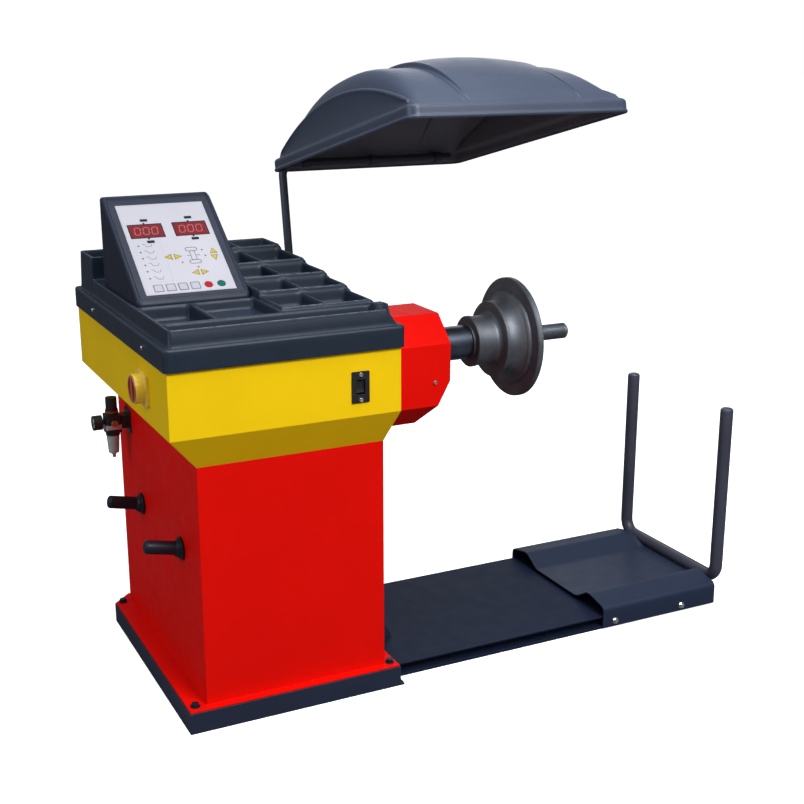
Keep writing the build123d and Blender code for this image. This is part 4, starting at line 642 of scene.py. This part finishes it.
# the console's left, right, front and rear, and the seat that it stands on
CONSOLE = (-307.0, -9.0, -126.0, 214.0)
SEAT_TOP = 1040.0
POCKET_DEPTH, POCKET_ROUND, POCKET_WALL = 32.0, 9.0, 4.5
TROUGH_REAR, TROUGH_FLOOR = -350.0, 1024.0
LEFT_POCKET_END, LEFT_FLOOR, CENTRE_START, CENTRE_FLOOR = -180.0, 1012.0, -168.0, 1022.0
# the lug's rectangle and corner radius; widths over which the low walls lean
CORNER_LUG, LUG_TOP, BUMP_H = (TOP_RIGHT - 50, TOP_RIGHT - 7, -404.0, -352.0, 14), 1058.0, 9.0
ROW_WALL, TOP_WALL, LUG_WALL, BUMP_WALL, SEAT_WALL = 5, 5, 10, 7, 3
# steps of the tray's grid: the widest, the smallest, and the lines beside a wall
GRID_STEP, GRID_LEAST, WALL_LINES = 7.0, 0.55, (-3.0, -1.8, -0.7, 0.7, 1.8, 3.0)


def pocket_list():
    """Every pocket of the tray: x0, x1, y0, y1, floor."""
    front, rear = ROW_LINES[0] - 8, CONSOLE[2] - 12
    out = [(TOP_LEFT + 12, TOP_RIGHT - SLOPE_WIDTH - 12, TOP_FRONT + 12, TROUGH_REAR, TROUGH_FLOOR),
           (TOP_LEFT + 14, LEFT_POCKET_END, front, rear, LEFT_FLOOR),
           (CENTRE_START, ROW_LEFT - 6, front, rear, CENTRE_FLOOR),
           (TOP_LEFT + 14, ROW_LEFT - 4, ROW_LINES[-1] + 8, TOP_REAR - 12, ROW_TOPS[-1] - POCKET_DEPTH)]
    columns = ((ROW_LEFT + 8, DIVIDER_X - RIB), (DIVIDER_X + RIB, TOP_RIGHT - SLOPE_WIDTH - 8))
    for near, far, top in zip(ROW_LINES, ROW_LINES[1:] + (TOP_REAR - 8,), ROW_TOPS):
        out += [(x0, x1, near + RIB, far - RIB, top - POCKET_DEPTH) for x0, x1 in columns]
    return out


POCKETS = pocket_list()


def rect_distance(x, y, x0, x1, y0, y1, radius):
    """Signed distance to a rectangle with rounded corners, positive outside."""
    cx, cy = (x0 + x1) / 2, (y0 + y1) / 2
    dx, dy = abs(x - cx) - (x1 - x0) / 2 + radius, abs(y - cy) - (y1 - y0) / 2 + radius
    return math.hypot(max(dx, 0), max(dy, 0)) + min(max(dx, dy), 0) - radius


def rise(distance, width):
    """0 to 1 over a wall that leans over width, rounded at its foot and top."""
    return smoothstep(distance / width + 0.5)


def tray_height(x, y):
    """Height of the tray's moulded top."""
    # terraces, of which the last runs over the whole width
    top = TRAY_TOP
    for line, high in zip(ROW_LINES, ROW_TOPS):
        right_of = 1.0 if high == ROW_TOPS[-1] else rise(x - ROW_LEFT, ROW_WALL)
        top += (high - top) * rise(y - line, ROW_WALL) * right_of
    # slanted wall on the right
    t = (x - (TOP_RIGHT - SLOPE_WIDTH)) / (SLOPE_WIDTH + 1)
    top -= (top - LIP_TOP) * max(t, 0)
    # outer wall of the upper part
    edge = rect_distance(x, y, TOP_LEFT, TOP_RIGHT, TOP_FRONT, TOP_REAR, 12)
    z = LIP_TOP + (top - LIP_TOP) * rise(-edge - TOP_WALL / 2, TOP_WALL)
    for x0, x1, y0, y1, floor in POCKETS:
        z = floor + (z - floor) * rise(rect_distance(x, y, x0, x1, y0, y1, POCKET_ROUND), POCKET_WALL)
    # rounded lug at the right front corner
    lug = rect_distance(x, y, *CORNER_LUG)
    z = max(z, LIP_TOP + (LUG_TOP - LIP_TOP) * rise(-lug - 1, LUG_WALL))
    # low rounded bumps down the slanted wall beside the rows
    for line in ROW_LINES:
        bump = rect_distance(x, y, TOP_RIGHT - 30, TOP_RIGHT - 8, line - 22, line + 4, 9)
        z += BUMP_H * rise(-bump - 1, BUMP_WALL)
    # seat under the console
    return z + (SEAT_TOP - z) * rise(-rect_distance(x, y, *CONSOLE, 4), SEAT_WALL)


def lines_with(low, high, walls):
    """Grid lines from low to high, closer together at the walls."""
    count = int(math.ceil((high - low) / GRID_STEP))
    lines = {round(low + (high - low) * i / count, 3) for i in range(count + 1)}
    lines |= {round(w + d, 3) for w in walls for d in WALL_LINES if low < w + d < high}
    kept = [min(lines)]
    for v in sorted(lines):
        if v - kept[-1] > GRID_LEAST:
            kept.append(v)
    kept[-1] = high
    return kept


def tray_axis(low, high, walls):
    """Grid lines over the tray's whole width or depth, each with its drop below the lip."""
    lip = LIP_TOP - TRAY_LOW[2]
    border = [(0.0, lip), (0.0, lip * 0.66), (0.0, lip * 0.33)] + quarter(TRAY_EDGE, 4)[:-1]
    inner = lines_with(low + TRAY_EDGE, high - TRAY_EDGE, walls)
    return ([(low + inset, drop) for inset, drop in border] + [(v, 0.0) for v in inner]
            + [(high - inset, drop) for inset, drop in reversed(border)])


def build_tray():
    (x0, y0, _), (x1, y1, _) = TRAY_LOW, TRAY_HIGH
    columns = tray_axis(x0, x1, {x for p in POCKETS for x in p[:2]} | {TOP_LEFT, TOP_RIGHT, ROW_LEFT})
    rows = tray_axis(y0, y1, {y for p in POCKETS for y in p[2:4]} | {TOP_FRONT, TOP_REAR, *ROW_LINES})
    verts = []
    for y, drop_y in rows:
        for x, drop_x in columns:
            drop = max(drop_x, drop_y)
            z = LIP_TOP - drop if drop > 0 else tray_height(x, y)
            cx = min(max(x, x0 + TRAY_CORNER), x1 - TRAY_CORNER)
            cy = min(max(y, y0 + TRAY_CORNER), y1 - TRAY_CORNER)
            dx, dy = x - cx, y - cy
            k = max(abs(dx), abs(dy)) / math.hypot(dx, dy) if dx and dy else 1
            verts.append((cx + dx * k, cy + dy * k, z))
    tray = piece("tray_moulding", verts, grid_faces(len(rows), len(columns)), "tray", "machine",
                 replaces=("weight_tray",), slot="tray_plastic")
    thicken(tray, TRAY_SKIN, 60)


build_tray()

# ---- spindle end with its thread
SPIN_Y, SPIN_Z = -98.0, 858.0
SCREW_START, SCREW_END = (corner[0] for corner in node_mm("spindle_screw"))
PITCH, THREAD_DEPTH, THREAD_R, THREAD_TURNS = 4.0, 1.5, 23.0, 40
# steepness of the tooth's flanks, and the offset that leaves its top and foot flat
FLANK, FLAT = 2.6, 0.8
# plain lengths at the inner and outer end, how far the thread runs out there, and the tip's chamfer
COLLARS, RUN_OUTS, CHAMFER = (3, 7), (6, 5), 4


def thread_radius(x, turn):
    """Radius of the thread at x and at a share of a turn, with plain ends and a chamfered tip."""
    phase = ((x - SCREW_START) / PITCH - turn) % 1.0
    tooth = min(max(FLANK * (abs(phase - 0.5) * 2) - FLAT, 0), 1)
    fade = smoothstep((x - SCREW_START - COLLARS[0]) / RUN_OUTS[0])
    fade *= smoothstep((SCREW_END - COLLARS[1] - x) / RUN_OUTS[1])
    return min(THREAD_R - THREAD_DEPTH * smoothstep(tooth) * fade, THREAD_R - CHAMFER + max(SCREW_END - x, 0))


def build_thread():
    """A trapezoid thread wound along the spindle's end."""
    steps = int((SCREW_END - SCREW_START) / (PITCH / 10))
    verts = []
    for r in range(steps + 1):
        x = SCREW_START + (SCREW_END - SCREW_START) * r / steps
        for i in range(THREAD_TURNS):
            a = 2 * math.pi * i / THREAD_TURNS
            radius = thread_radius(x, i / THREAD_TURNS)
            verts.append((x, SPIN_Y + radius * math.cos(a), SPIN_Z + radius * math.sin(a)))
    piece("spindle_thread_end", verts, ring_faces(steps + 1, THREAD_TURNS), "thread", "spindle",
          replaces=("spindle_screw",), slot="grey_steel")


build_thread()

# ---- carriage sheet
LIFT_Y, CARRIAGE_LEFT, CARRIAGE_RIGHT = -98.0, 975.0, 1389.0
FOLDS = ((261.0, 4.0), (261.0, 70.0), (174.0, 88.0), (115.0, 52.0))
FOLD_R, SHEET = 16.0, 3.6
LIP_RISE, LIP_LENGTH, LIP_OUT, LIP_HALF, LIP_FADE = 6.0, 12.0, 8.0, 150.0, 30.0


def build_carriage():
    """The folded sheet that rides on the track, with the middle of its right end turned up a little."""
    half = rounded(list(FOLDS) + [(0.0, FOLDS[-1][1])], FOLD_R, 6)
    section = half + [(-y, z) for y, z in reversed(half[:-1])]
    bend = CARRIAGE_RIGHT - LIP_LENGTH
    along = [CARRIAGE_LEFT + (bend - CARRIAGE_LEFT) * k / 16 for k in range(17)]
    along += [bend + LIP_LENGTH * k / 6 for k in range(1, 7)]
    verts = []
    for x in along:
        share = smoothstep((x - bend) / LIP_LENGTH)
        for y, z in section:
            inner = share * smoothstep((LIP_HALF - abs(y)) / LIP_FADE)
            verts.append((x + LIP_OUT * inner, LIFT_Y + y, z + LIP_RISE * inner))
    sheet = piece("carriage_sheet", verts, grid_faces(len(along), len(section)), "sheet", "carriage",
                  replaces=("carriage_pan",), slot="navy_paint")
    # the normals have to point up, so that the thickness goes below the sheet
    middle = min(sheet.data.polygons, key=lambda f: abs(f.center.y - LIFT_Y * MM))
    if middle.normal.z < 0:
        sheet.data.flip_normals()
    thicken(sheet, SHEET, 50)


build_carriage()

# ---- storage pegs
PEG_X, PEG_Z, PEG_TILT = -252.0, 430.0, math.radians(12.0)
PEG_PLACES = {"storage_peg_rear": 157.0, "storage_peg_front": -212.0}
# (along, radius) of the turned peg and of the plate that it stands on
PEG_PROFILE = ((-1.5, 26.0), (4.0, 26.0), (7.5, 24.0), (13.0, 23.0), (17.0, 19.5), (19.0, 18.0), (60.0, 18.0),
               (93.0, 18.0), (98.0, 13.5), (98.3, 6.0))
PEG_PLATE, PLATE_SHIFT = ((0.0, 12.0), (0.0, 30.0), (8.0, 30.0), (9.5, 12.0)), 2.0
for node, y in PEG_PLACES.items():
    way = (-math.cos(PEG_TILT), 0, math.sin(PEG_TILT))
    stem = lathe(rounded(PEG_PROFILE, 3.0), (PEG_X, y, PEG_Z), way)
    plate = lathe(rounded(PEG_PLATE, 2.0), (PEG_X + PLATE_SHIFT, y, PEG_Z), (-1, 0, 0))
    piece(node.replace("storage_", "") + "_turned", *joined(stem, plate), "pegs", "machine",
          replaces=(node,), slot="black_plastic")

# ---- bent tubes
POST_X, POST_HALF, POST_R, POST_BEND, POST_END = 1412.0, 233.0, 19.5, 46.0, 7.0
POST_TOP = node_mm("u_bar")[1][2]
LUG_Z, LUG_HALF, LUG_SPAN, LUG_ROUND = 70.0, 6.0, (150.0, 180.0), 1.5


def build_posts():
    """The stop posts, bent from one tube, with two lugs that hold them to the carriage."""
    near, far = LIFT_Y - POST_HALF, LIFT_Y + POST_HALF
    path = [(POST_X, near, POST_TOP), (POST_X, near, LUG_Z), (POST_X, far, LUG_Z), (POST_X, far, POST_TOP)]
    shapes = [tube(bent(path, POST_BEND), POST_R, POST_END)]
    for side in (-1, 1):
        y0, y1 = sorted(LIFT_Y + side * span for span in LUG_SPAN)
        shapes.append(box_shape(CARRIAGE_RIGHT - 2, POST_X - POST_R + 6, y0, y1, LUG_Z - LUG_HALF,
                                LUG_Z + LUG_HALF, LUG_ROUND))
    piece("stop_bar", *joined(*shapes), "tube", "carriage", replaces=("u_bar",), slot="navy_paint")


ARM_FOOT, ARM_X, ARM_END = Vector((170.0, 422.0, 890.0)), 322.0, 900.0
ARM_R, ARM_BEND, ARM_END_ROUND = 12.5, 36.0, 2.5
# where the arm's upper leg lies in the guard: in from its rear rim, and up from the rim's plane
TUBE_IN, TUBE_UP = 39.0, 20.0


def build_arm():
    """The guard's bent tube, from its hinge up into the guard."""
    _, y, z = hood_point(ARM_X, TUBE_IN, TUBE_UP)
    path = [ARM_FOOT, (ARM_X, *ARM_FOOT.yz), (ARM_X, y, z), (ARM_END, y, z)]
    piece("guard_arm", *tube(bent(path, ARM_BEND), ARM_R, ARM_END_ROUND), "tube", "hood",
          replaces=("hood_arm",), slot="navy_paint")


build_posts()
build_arm()

# ---- console face
CASE_LEFT, CASE_RIGHT, CASE_FRONT, CASE_REAR = CONSOLE
CASE_NOSE, CASE_TOP, CASE_FLOOR, LEVEL_Y = 1055.0, 1283.0, 1040.5, 192.0
CASE_CORNER, CASE_EDGE, CASE_CREST = 13.0, 8.0, 3.0
CASE_HOLE, HOLE_ROUND, HOLE_LIP = (-277.3, -38.7, -103.5, 166.9), 2.0, 7.0
# the raised rim: its height and width, and (way in, share of the height) over its inner edge
RIM_RAISE, RIM_WIDTH = 3.0, 9.0
RIM_FALL = ((0.0, 1.0), (1.2, 0.75), (2.4, 0.3), (3.4, 0.05), (4.5, 0.0))
# thickness of the case's wall at the floor and under the face, and how far under that is
WALL_FLOOR, WALL_TOP, WALL_DROP = 4.0, 6.0, 9.0

FACE_O = Vector(((CASE_LEFT + CASE_RIGHT) / 2, CASE_FRONT, CASE_NOSE))
FACE_SLOPE = math.atan2(CASE_TOP - CASE_NOSE, LEVEL_Y - CASE_FRONT)
FACE_V = Vector((0, math.cos(FACE_SLOPE), math.sin(FACE_SLOPE)))
FACE_N = Vector((0, -math.sin(FACE_SLOPE), math.cos(FACE_SLOPE)))
FACE_U = Vector((1, 0, 0))
PRINT_LOW, PRINT_HIGH = -0.3, -0.05


def on_face(u, v, w):
    """Place of a point (right, up the slope, out) of the console's face."""
    return FACE_O + FACE_U * u + FACE_V * v + FACE_N * w


def case_top(y):
    """Height of the console's face, which bends over to a level strip at the top."""
    slope = CASE_NOSE + (y - CASE_FRONT) * math.tan(FACE_SLOPE)
    return (slope + CASE_TOP) / 2 - math.hypot((slope - CASE_TOP) / 2, CASE_CREST)


def round_loop(x0, x1, y0, y1, radius, steps=5, side=20):
    """Points around a rectangle with round corners, in even steps along its sides."""
    corners = ((x1 - radius, y0 + radius, -90), (x1 - radius, y1 - radius, 0),
               (x0 + radius, y1 - radius, 90), (x0 + radius, y0 + radius, 180))
    arcs = []
    for cx, cy, start in corners:
        angles = [math.radians(start + 90 * k / steps) for k in range(steps + 1)]
        arcs.append([Vector((cx + radius * math.cos(a), cy + radius * math.sin(a))) for a in angles])
    out = []
    for arc, after in zip(arcs, arcs[1:] + arcs[:1]):
        out += arc + [arc[-1].lerp(after[0], k / side) for k in range(1, side)]
    return out


def case_loop(d):
    """The case's outline, drawn in by d."""
    return round_loop(CASE_LEFT + d, CASE_RIGHT - d, CASE_FRONT + d, CASE_REAR - d, max(CASE_CORNER - d, 2.0))


def at_floor(loop):
    return [(p.x, p.y, CASE_FLOOR) for p in loop]


def at_face(loop, up=0.0):
    """A loop's points at a height over the console's face."""
    return [(p.x, p.y, case_top(p.y) + up) for p in loop]


def build_case():
    """The console's moulded case: walls, a rounded raised rim and an opening for the panel."""
    hole, flat = round_loop(*CASE_HOLE, HOLE_ROUND), case_loop(RIM_WIDTH + RIM_FALL[-1][0])
    rings = [at_floor(case_loop(0))]
    rings += [at_face(case_loop(into), RIM_RAISE - down) for into, down in quarter(CASE_EDGE, 7)]
    rings += [at_face(case_loop(RIM_WIDTH + d), RIM_RAISE * share) for d, share in RIM_FALL]
    rings += [at_face([p.lerp(q, k / 8) for p, q in zip(flat, hole)]) for k in range(1, 9)]
    rings += [at_face(hole, -HOLE_LIP), at_face(case_loop(WALL_TOP), -WALL_DROP),
              at_floor(case_loop(WALL_FLOOR))]
    starts = [r * len(hole) for r in range(len(rings))]
    faces = [face for a, b in zip(starts, starts[1:] + starts[:1]) for face in band_faces(a, b, len(hole))]
    piece("console_case", [p for ring in rings for p in ring], faces, "case", "machine",
          replaces=("console_housing",), slot="tray_plastic")


build_case()


# ---- console prints
def prism_faces(count):
    """Faces of a slab between two rings of count points."""
    return [tuple(reversed(range(count))), tuple(range(count, 2 * count))] + band_faces(0, count, count)


def prism(points, low=PRINT_LOW, high=PRINT_HIGH):
    """A thin raised print of an outline on the console's face."""
    return [on_face(u, v, w) for w in (low, high) for u, v in points], prism_faces(len(points))


def frame_print(outer, inner):
    """A thin raised ring between two outlines of as many points."""
    n = len(outer)
    verts = [on_face(u, v, w) for w in (PRINT_LOW, PRINT_HIGH) for u, v in outer + inner]
    around = ((0, n), (n, 3 * n), (3 * n, 2 * n), (2 * n, 0))
    return verts, [face for a, b in around for face in band_faces(a, b, n)]


def rect(u, v, half_u, half_v, radius=0.0):
    """Outline of a rectangle about a point, with round corners where radius is given."""
    if radius:
        return round_loop(u - half_u, u + half_u, v - half_v, v + half_v, radius, 4, 1)
    return [(u + a * half_u, v + b * half_v) for a, b in SQUARE]


def around(u, v, radius, angles):
    """Points of a circle at some angles in degrees."""
    return [(u + radius * math.cos(math.radians(a)), v + radius * math.sin(math.radians(a))) for a in angles]


def disc(u, v, radius):
    return around(u, v, radius, range(0, 360, 18))


def triangle(u, v, size, heading):
    """Outline of a triangle that points along heading degrees."""
    return around(u, v, size, [heading + a for a in (0, 125, 235)])


def bar(u0, v0, u1, v1, width=0.9):
    """Outline of a straight line of some width."""
    d = Vector((u1 - u0, v1 - v0)).normalized() * width / 2
    return [(u0 - d.y, v0 + d.x), (u0 + d.y, v0 - d.x), (u1 + d.y, v1 - d.x), (u1 - d.y, v1 + d.x)]


# a zero's six segments, each from one corner or side middle of its box to the next
SEGMENTS = ((-1, 1, 1, 1), (1, 1, 1, 0), (1, 0, 1, -1), (-1, -1, 1, -1), (-1, 0, -1, -1), (-1, 1, -1, 0))
DIGIT_U, DIGIT_V, DIGIT_LEAN, SEGMENT_WIDTH, SEGMENT_GAP = 7.5, 13.0, 1.6, 2.6, 0.62
DIGIT_LOW, DIGIT_HIGH = -0.25, 0.06


def zero_digit(u, v):
    """Seven-segment zero as a list of raised bars."""
    out = []
    for a0, b0, a1, b1 in SEGMENTS:
        p0 = Vector((u + a0 * DIGIT_U + b0 * DIGIT_LEAN, v + b0 * DIGIT_V))
        p1 = Vector((u + a1 * DIGIT_U + b1 * DIGIT_LEAN, v + b1 * DIGIT_V))
        gap = (p1 - p0).normalized() * SEGMENT_WIDTH * SEGMENT_GAP
        out.append(prism(bar(*(p0 + gap), *(p1 - gap), SEGMENT_WIDTH), DIGIT_LOW, DIGIT_HIGH))
    return out


def ring_print(shape, place, outer, inner):
    """Ring print between two outlines of one kind about a place."""
    return frame_print(shape(*place, *outer), shape(*place, *inner))


def display_prints():
    """Frames and centre marks of the two displays, and the dark plates above and below them."""
    out = []
    for u in DISPLAY_U:
        out.append(ring_print(rect, (u, DISPLAY_V), (46.5, 26.5, 2), (43.4, 23.4, 1.2)))
        for up in (-31.5, 31.5):
            out.append(prism(bar(u, DISPLAY_V + up * 0.84, u, DISPLAY_V + up, 5.0)))
    return out + [prism(rect(u, v, 10, 4.8, 1.5)) for u, v in PLATES]


def wheel_prints():
    """Section of a wheel: two tyre ends, the rim between them and its axle."""
    u, v = WHEEL_UV
    out = [ring_print(rect, (u, v + up), (16, 7, 6), (14.6, 5.6, 4.8)) for up in (23, -23)]
    out.append(ring_print(rect, WHEEL_UV, (7, 17), (5.8, 15.8)))
    return out + [prism(bar(u - 16, v, u - 8, v, 1.6)), prism(bar(u + 8, v, u + 18, v, 1.6))]


def row_prints():
    """A small sketch of a rim's outline beside each light."""
    bends = ((-84, 5), (-78, 5), (-74, -4), (-62, -4), (-58, 5))
    return [prism(bar(u0, v + up0, u1, v + up1)) for v in LIGHT_ROWS
            for (u0, up0), (u1, up1) in zip(bends, bends[1:])]


DISPLAY_U, DISPLAY_V, DIGIT_STEP = (-60.0, 60.0), 258.5, 23
PLATES = ((-57, 299), (-58, 218), (63.6, 301), (62, 220))
WHEEL_UV = (39, 158)
ARROWS = ((-26, 157.5, 180), (-4.4, 157.5, 0), (95.8, 168.2, 90), (94.7, 147.7, 270), (30.3, 95.6, 180),
          (51, 95.5, 0))
LIGHT_U, LIGHT_ROWS = -94.5, (204.7, 181.1, 158.6, 134.4, 111.3, 86.0)
DOT_PLACES, DOT_R = ((4, 135), (71, 154), (41, 115), (67, 176)), 2.6
KEYS_U, KEYS_V = (-82.0, -49.5, -17.5, 14.5), 50

digits = [bars for u in DISPLAY_U for k in (-1, 0, 1) for bars in zero_digit(u + DIGIT_STEP * k, DISPLAY_V)]
ink = display_prints()
ink += [ring_print(triangle, (u, v), (12.6, way), (10.8, way)) for u, v, way in ARROWS]
ink += wheel_prints() + row_prints()
ink += [ring_print(rect, (u, KEYS_V), (12.6, 12.6, 2.5), (11.4, 11.4, 1.8)) for u in KEYS_U]
ink_yellow = [prism(triangle(u, v, 10.5, way)) for u, v, way in ARROWS]
ink_grey = [ring_print(rect, (-70, 148), (35, 76, 3), (34.3, 75.3, 2.6)),
            ring_print(rect, (0, 194), (115, 163, 5), (114.3, 162.3, 4.6))]
ink_red = [prism(disc(u, v, DOT_R)) for u, v in DOT_PLACES]
leds = [prism(disc(LIGHT_U, v, DOT_R)) for v in LIGHT_ROWS]
for name, parts, mat in (("panel_print_dark", ink, "ink"), ("panel_print_yellow", ink_yellow, "ink_yellow"),
                         ("panel_print_grey", ink_grey, "ink_grey"), ("panel_print_red", ink_red, "ink_red"),
                         ("display_digits", digits, "digits"), ("panel_lights", leds, "led")):
    piece(name, *joined(*parts), mat, "machine", smooth=False, slot="panel_film")

# ---- pressure gauge's dial and marks
GAUGE = Vector((-352.0, 262.0, 650.0))
DIAL_R, DIAL_THICK, DIAL_SINK, MARK_SINK, MARK_THICK = 18.2, 0.4, 4.9, 4.4, 0.15
MARK_R, MARK_HALF, MARK_LONG, MARK_SHORT, MARK_COUNT, MARK_START, MARK_STEP = 17, 0.35, 4.5, 2.8, 11, -45, 27
shape = lathe([(0.0, DIAL_R), (DIAL_THICK, DIAL_R)], GAUGE + Vector((DIAL_SINK, 0, 0)), (-1, 0, 0))
piece("gauge_dial", *shape, "dial", "machine", slot="panel_film")


def gauge_mark(angle, length):
    """A thin bar that stands in from the dial's edge at an angle."""
    across = Vector((0, math.cos(angle), math.sin(angle)))
    along = Vector((0, -math.sin(angle), math.cos(angle)))
    centre = GAUGE + Vector((MARK_SINK, 0, 0))
    ends = ((MARK_R, -1), (MARK_R, 1), (MARK_R - length, 1), (MARK_R - length, -1))
    back = [centre + across * r + along * s * MARK_HALF for r, s in ends]
    front = [p - Vector((MARK_THICK, 0, 0)) for p in back]
    return back + front, prism_faces(4)


marks = [gauge_mark(math.radians(MARK_START + MARK_STEP * k), MARK_SHORT if k % 5 else MARK_LONG)
         for k in range(MARK_COUNT)]
piece("gauge_marks", *joined(*marks), "ink", "machine", smooth=False, slot="black_plastic")

# ---- regulator trims
REG_X, REG_Y = -297.0, 262.0
RING_LOW, RING_H, RING_R, RING_ROUND = 676.0, 6.0, 18.8, 0.8
LABEL_HALF, LABEL_LOW, LABEL_HIGH, LABEL_ROUND = 22.5, 628.0, 644.0, 3.0
ring = rounded([(0.0, RING_R - 1.2), (0.0, RING_R), (RING_H, RING_R), (RING_H, RING_R - 1.2)], RING_ROUND)
piece("regulator_ring", *lathe(ring, (REG_X, REG_Y, RING_LOW), (0, 0, 1)), "ring", "machine",
      slot="switch_red")
band = box_shape(REG_X - LABEL_HALF, REG_X + LABEL_HALF, REG_Y - LABEL_HALF, REG_Y + LABEL_HALF,
                 LABEL_LOW, LABEL_HIGH, LABEL_ROUND, 3)
piece("regulator_label", *band, "silver", "machine", slot="grey_steel")

# ---- floor, light and camera
FLOOR_HALF = 40
FLOOR_BOUNCE, FLOOR_GLOW, BLACK = (0.15, 0.15, 0.16, 1), (0.80, 0.80, 0.80, 1), (0, 0, 0, 1)
FLOOR_TONES = (0.86, 0.86, 0.86, 1), (0.89, 0.89, 0.89, 1)
ROOM_COLOUR, ROOM_LIGHT = (0.94, 0.97, 1.0, 1), 0.29


def build_floor():
    """The studio's floor: the camera sees it nearly white, and it throws little light up."""
    mesh = bpy.data.meshes.new("floor")
    mesh.from_pydata([(a * FLOOR_HALF, b * FLOOR_HALF, 0) for a, b in SQUARE], [], [(0, 1, 2, 3)])
    floor = add_object("floor", mesh)
    pale = Maker("studio_floor")
    seen = pale.node("LightPath").outputs["Is Camera Ray"]
    tone = pale.mix(pale.ramp(pale.noise(0.6, 3.0), NOISE_RANGE), *FLOOR_TONES)
    mesh.materials.append(pale.surface({
        "Base Color": pale.mix(seen, FLOOR_BOUNCE, tone), "Emission Color": pale.mix(seen, BLACK, FLOOR_GLOW),
        "Emission Strength": 1.0, "Roughness": 0.7, "Specular IOR Level": 0.2}))


def build_world():
    """Soft light from all around, before a white backdrop."""
    world = bpy.data.worlds.new("studio")
    bpy.context.scene.world = world
    world.use_nodes = True
    tree = world.node_tree
    room, backdrop = tree.nodes["Background"], tree.nodes.new("ShaderNodeBackground")
    either = tree.nodes.new("ShaderNodeMixShader")
    seen = tree.nodes.new("ShaderNodeLightPath").outputs["Is Camera Ray"]
    tree.links.new(seen, either.inputs["Fac"])
    for place, (shader, colour, strength) in enumerate(((room, ROOM_COLOUR, ROOM_LIGHT),
                                                        (backdrop, (1, 1, 1, 1), 1.0)), start=1):
        shader.inputs["Color"].default_value = colour
        shader.inputs["Strength"].default_value = strength
        tree.links.new(shader.outputs["Background"], either.inputs[place])
    tree.links.new(either.outputs["Shader"], tree.nodes["World Output"].inputs["Surface"])


def area(name, place, target, size, power, colour=(1, 1, 1)):
    """A soft box aimed at a point."""
    light = bpy.data.lights.new(name, "AREA")
    light.shape = "RECTANGLE"
    light.size, light.size_y = size
    light.energy = power
    light.color = colour
    obj = add_object(name, light)
    obj.location = place
    obj.rotation_euler = (Vector(target) - Vector(place)).to_track_quat("-Z", "Y").to_euler()


build_floor()
build_world()
bpy.context.scene.view_settings.view_transform = "Standard"
area("key", (0.9, -3.8, 4.2), (0.2, 0, 0.7), (2.0, 1.7), 225)
area("left", (-4.4, -0.6, 2.8), (0, 0, 0.8), (2.2, 2.2), 62, (0.88, 0.92, 1.0))
area("top", (0.4, -0.4, 4.6), (0.3, 0, 0.9), (3.0, 2.4), 110, (0.88, 0.93, 1.0))
area("rear", (2.8, 3.8, 2.6), (0.5, 0, 0.8), (2.0, 2.0), 18)

camera = add_object("camera", bpy.data.cameras.new("camera"))
camera.location = (-1.120, -3.2375, 1.6963)
camera.rotation_euler = (math.radians(74.2), 0, math.radians(-26.4))
camera.data.lens = 57.9
camera.data.sensor_width = 36.0
bpy.context.scene.camera = camera
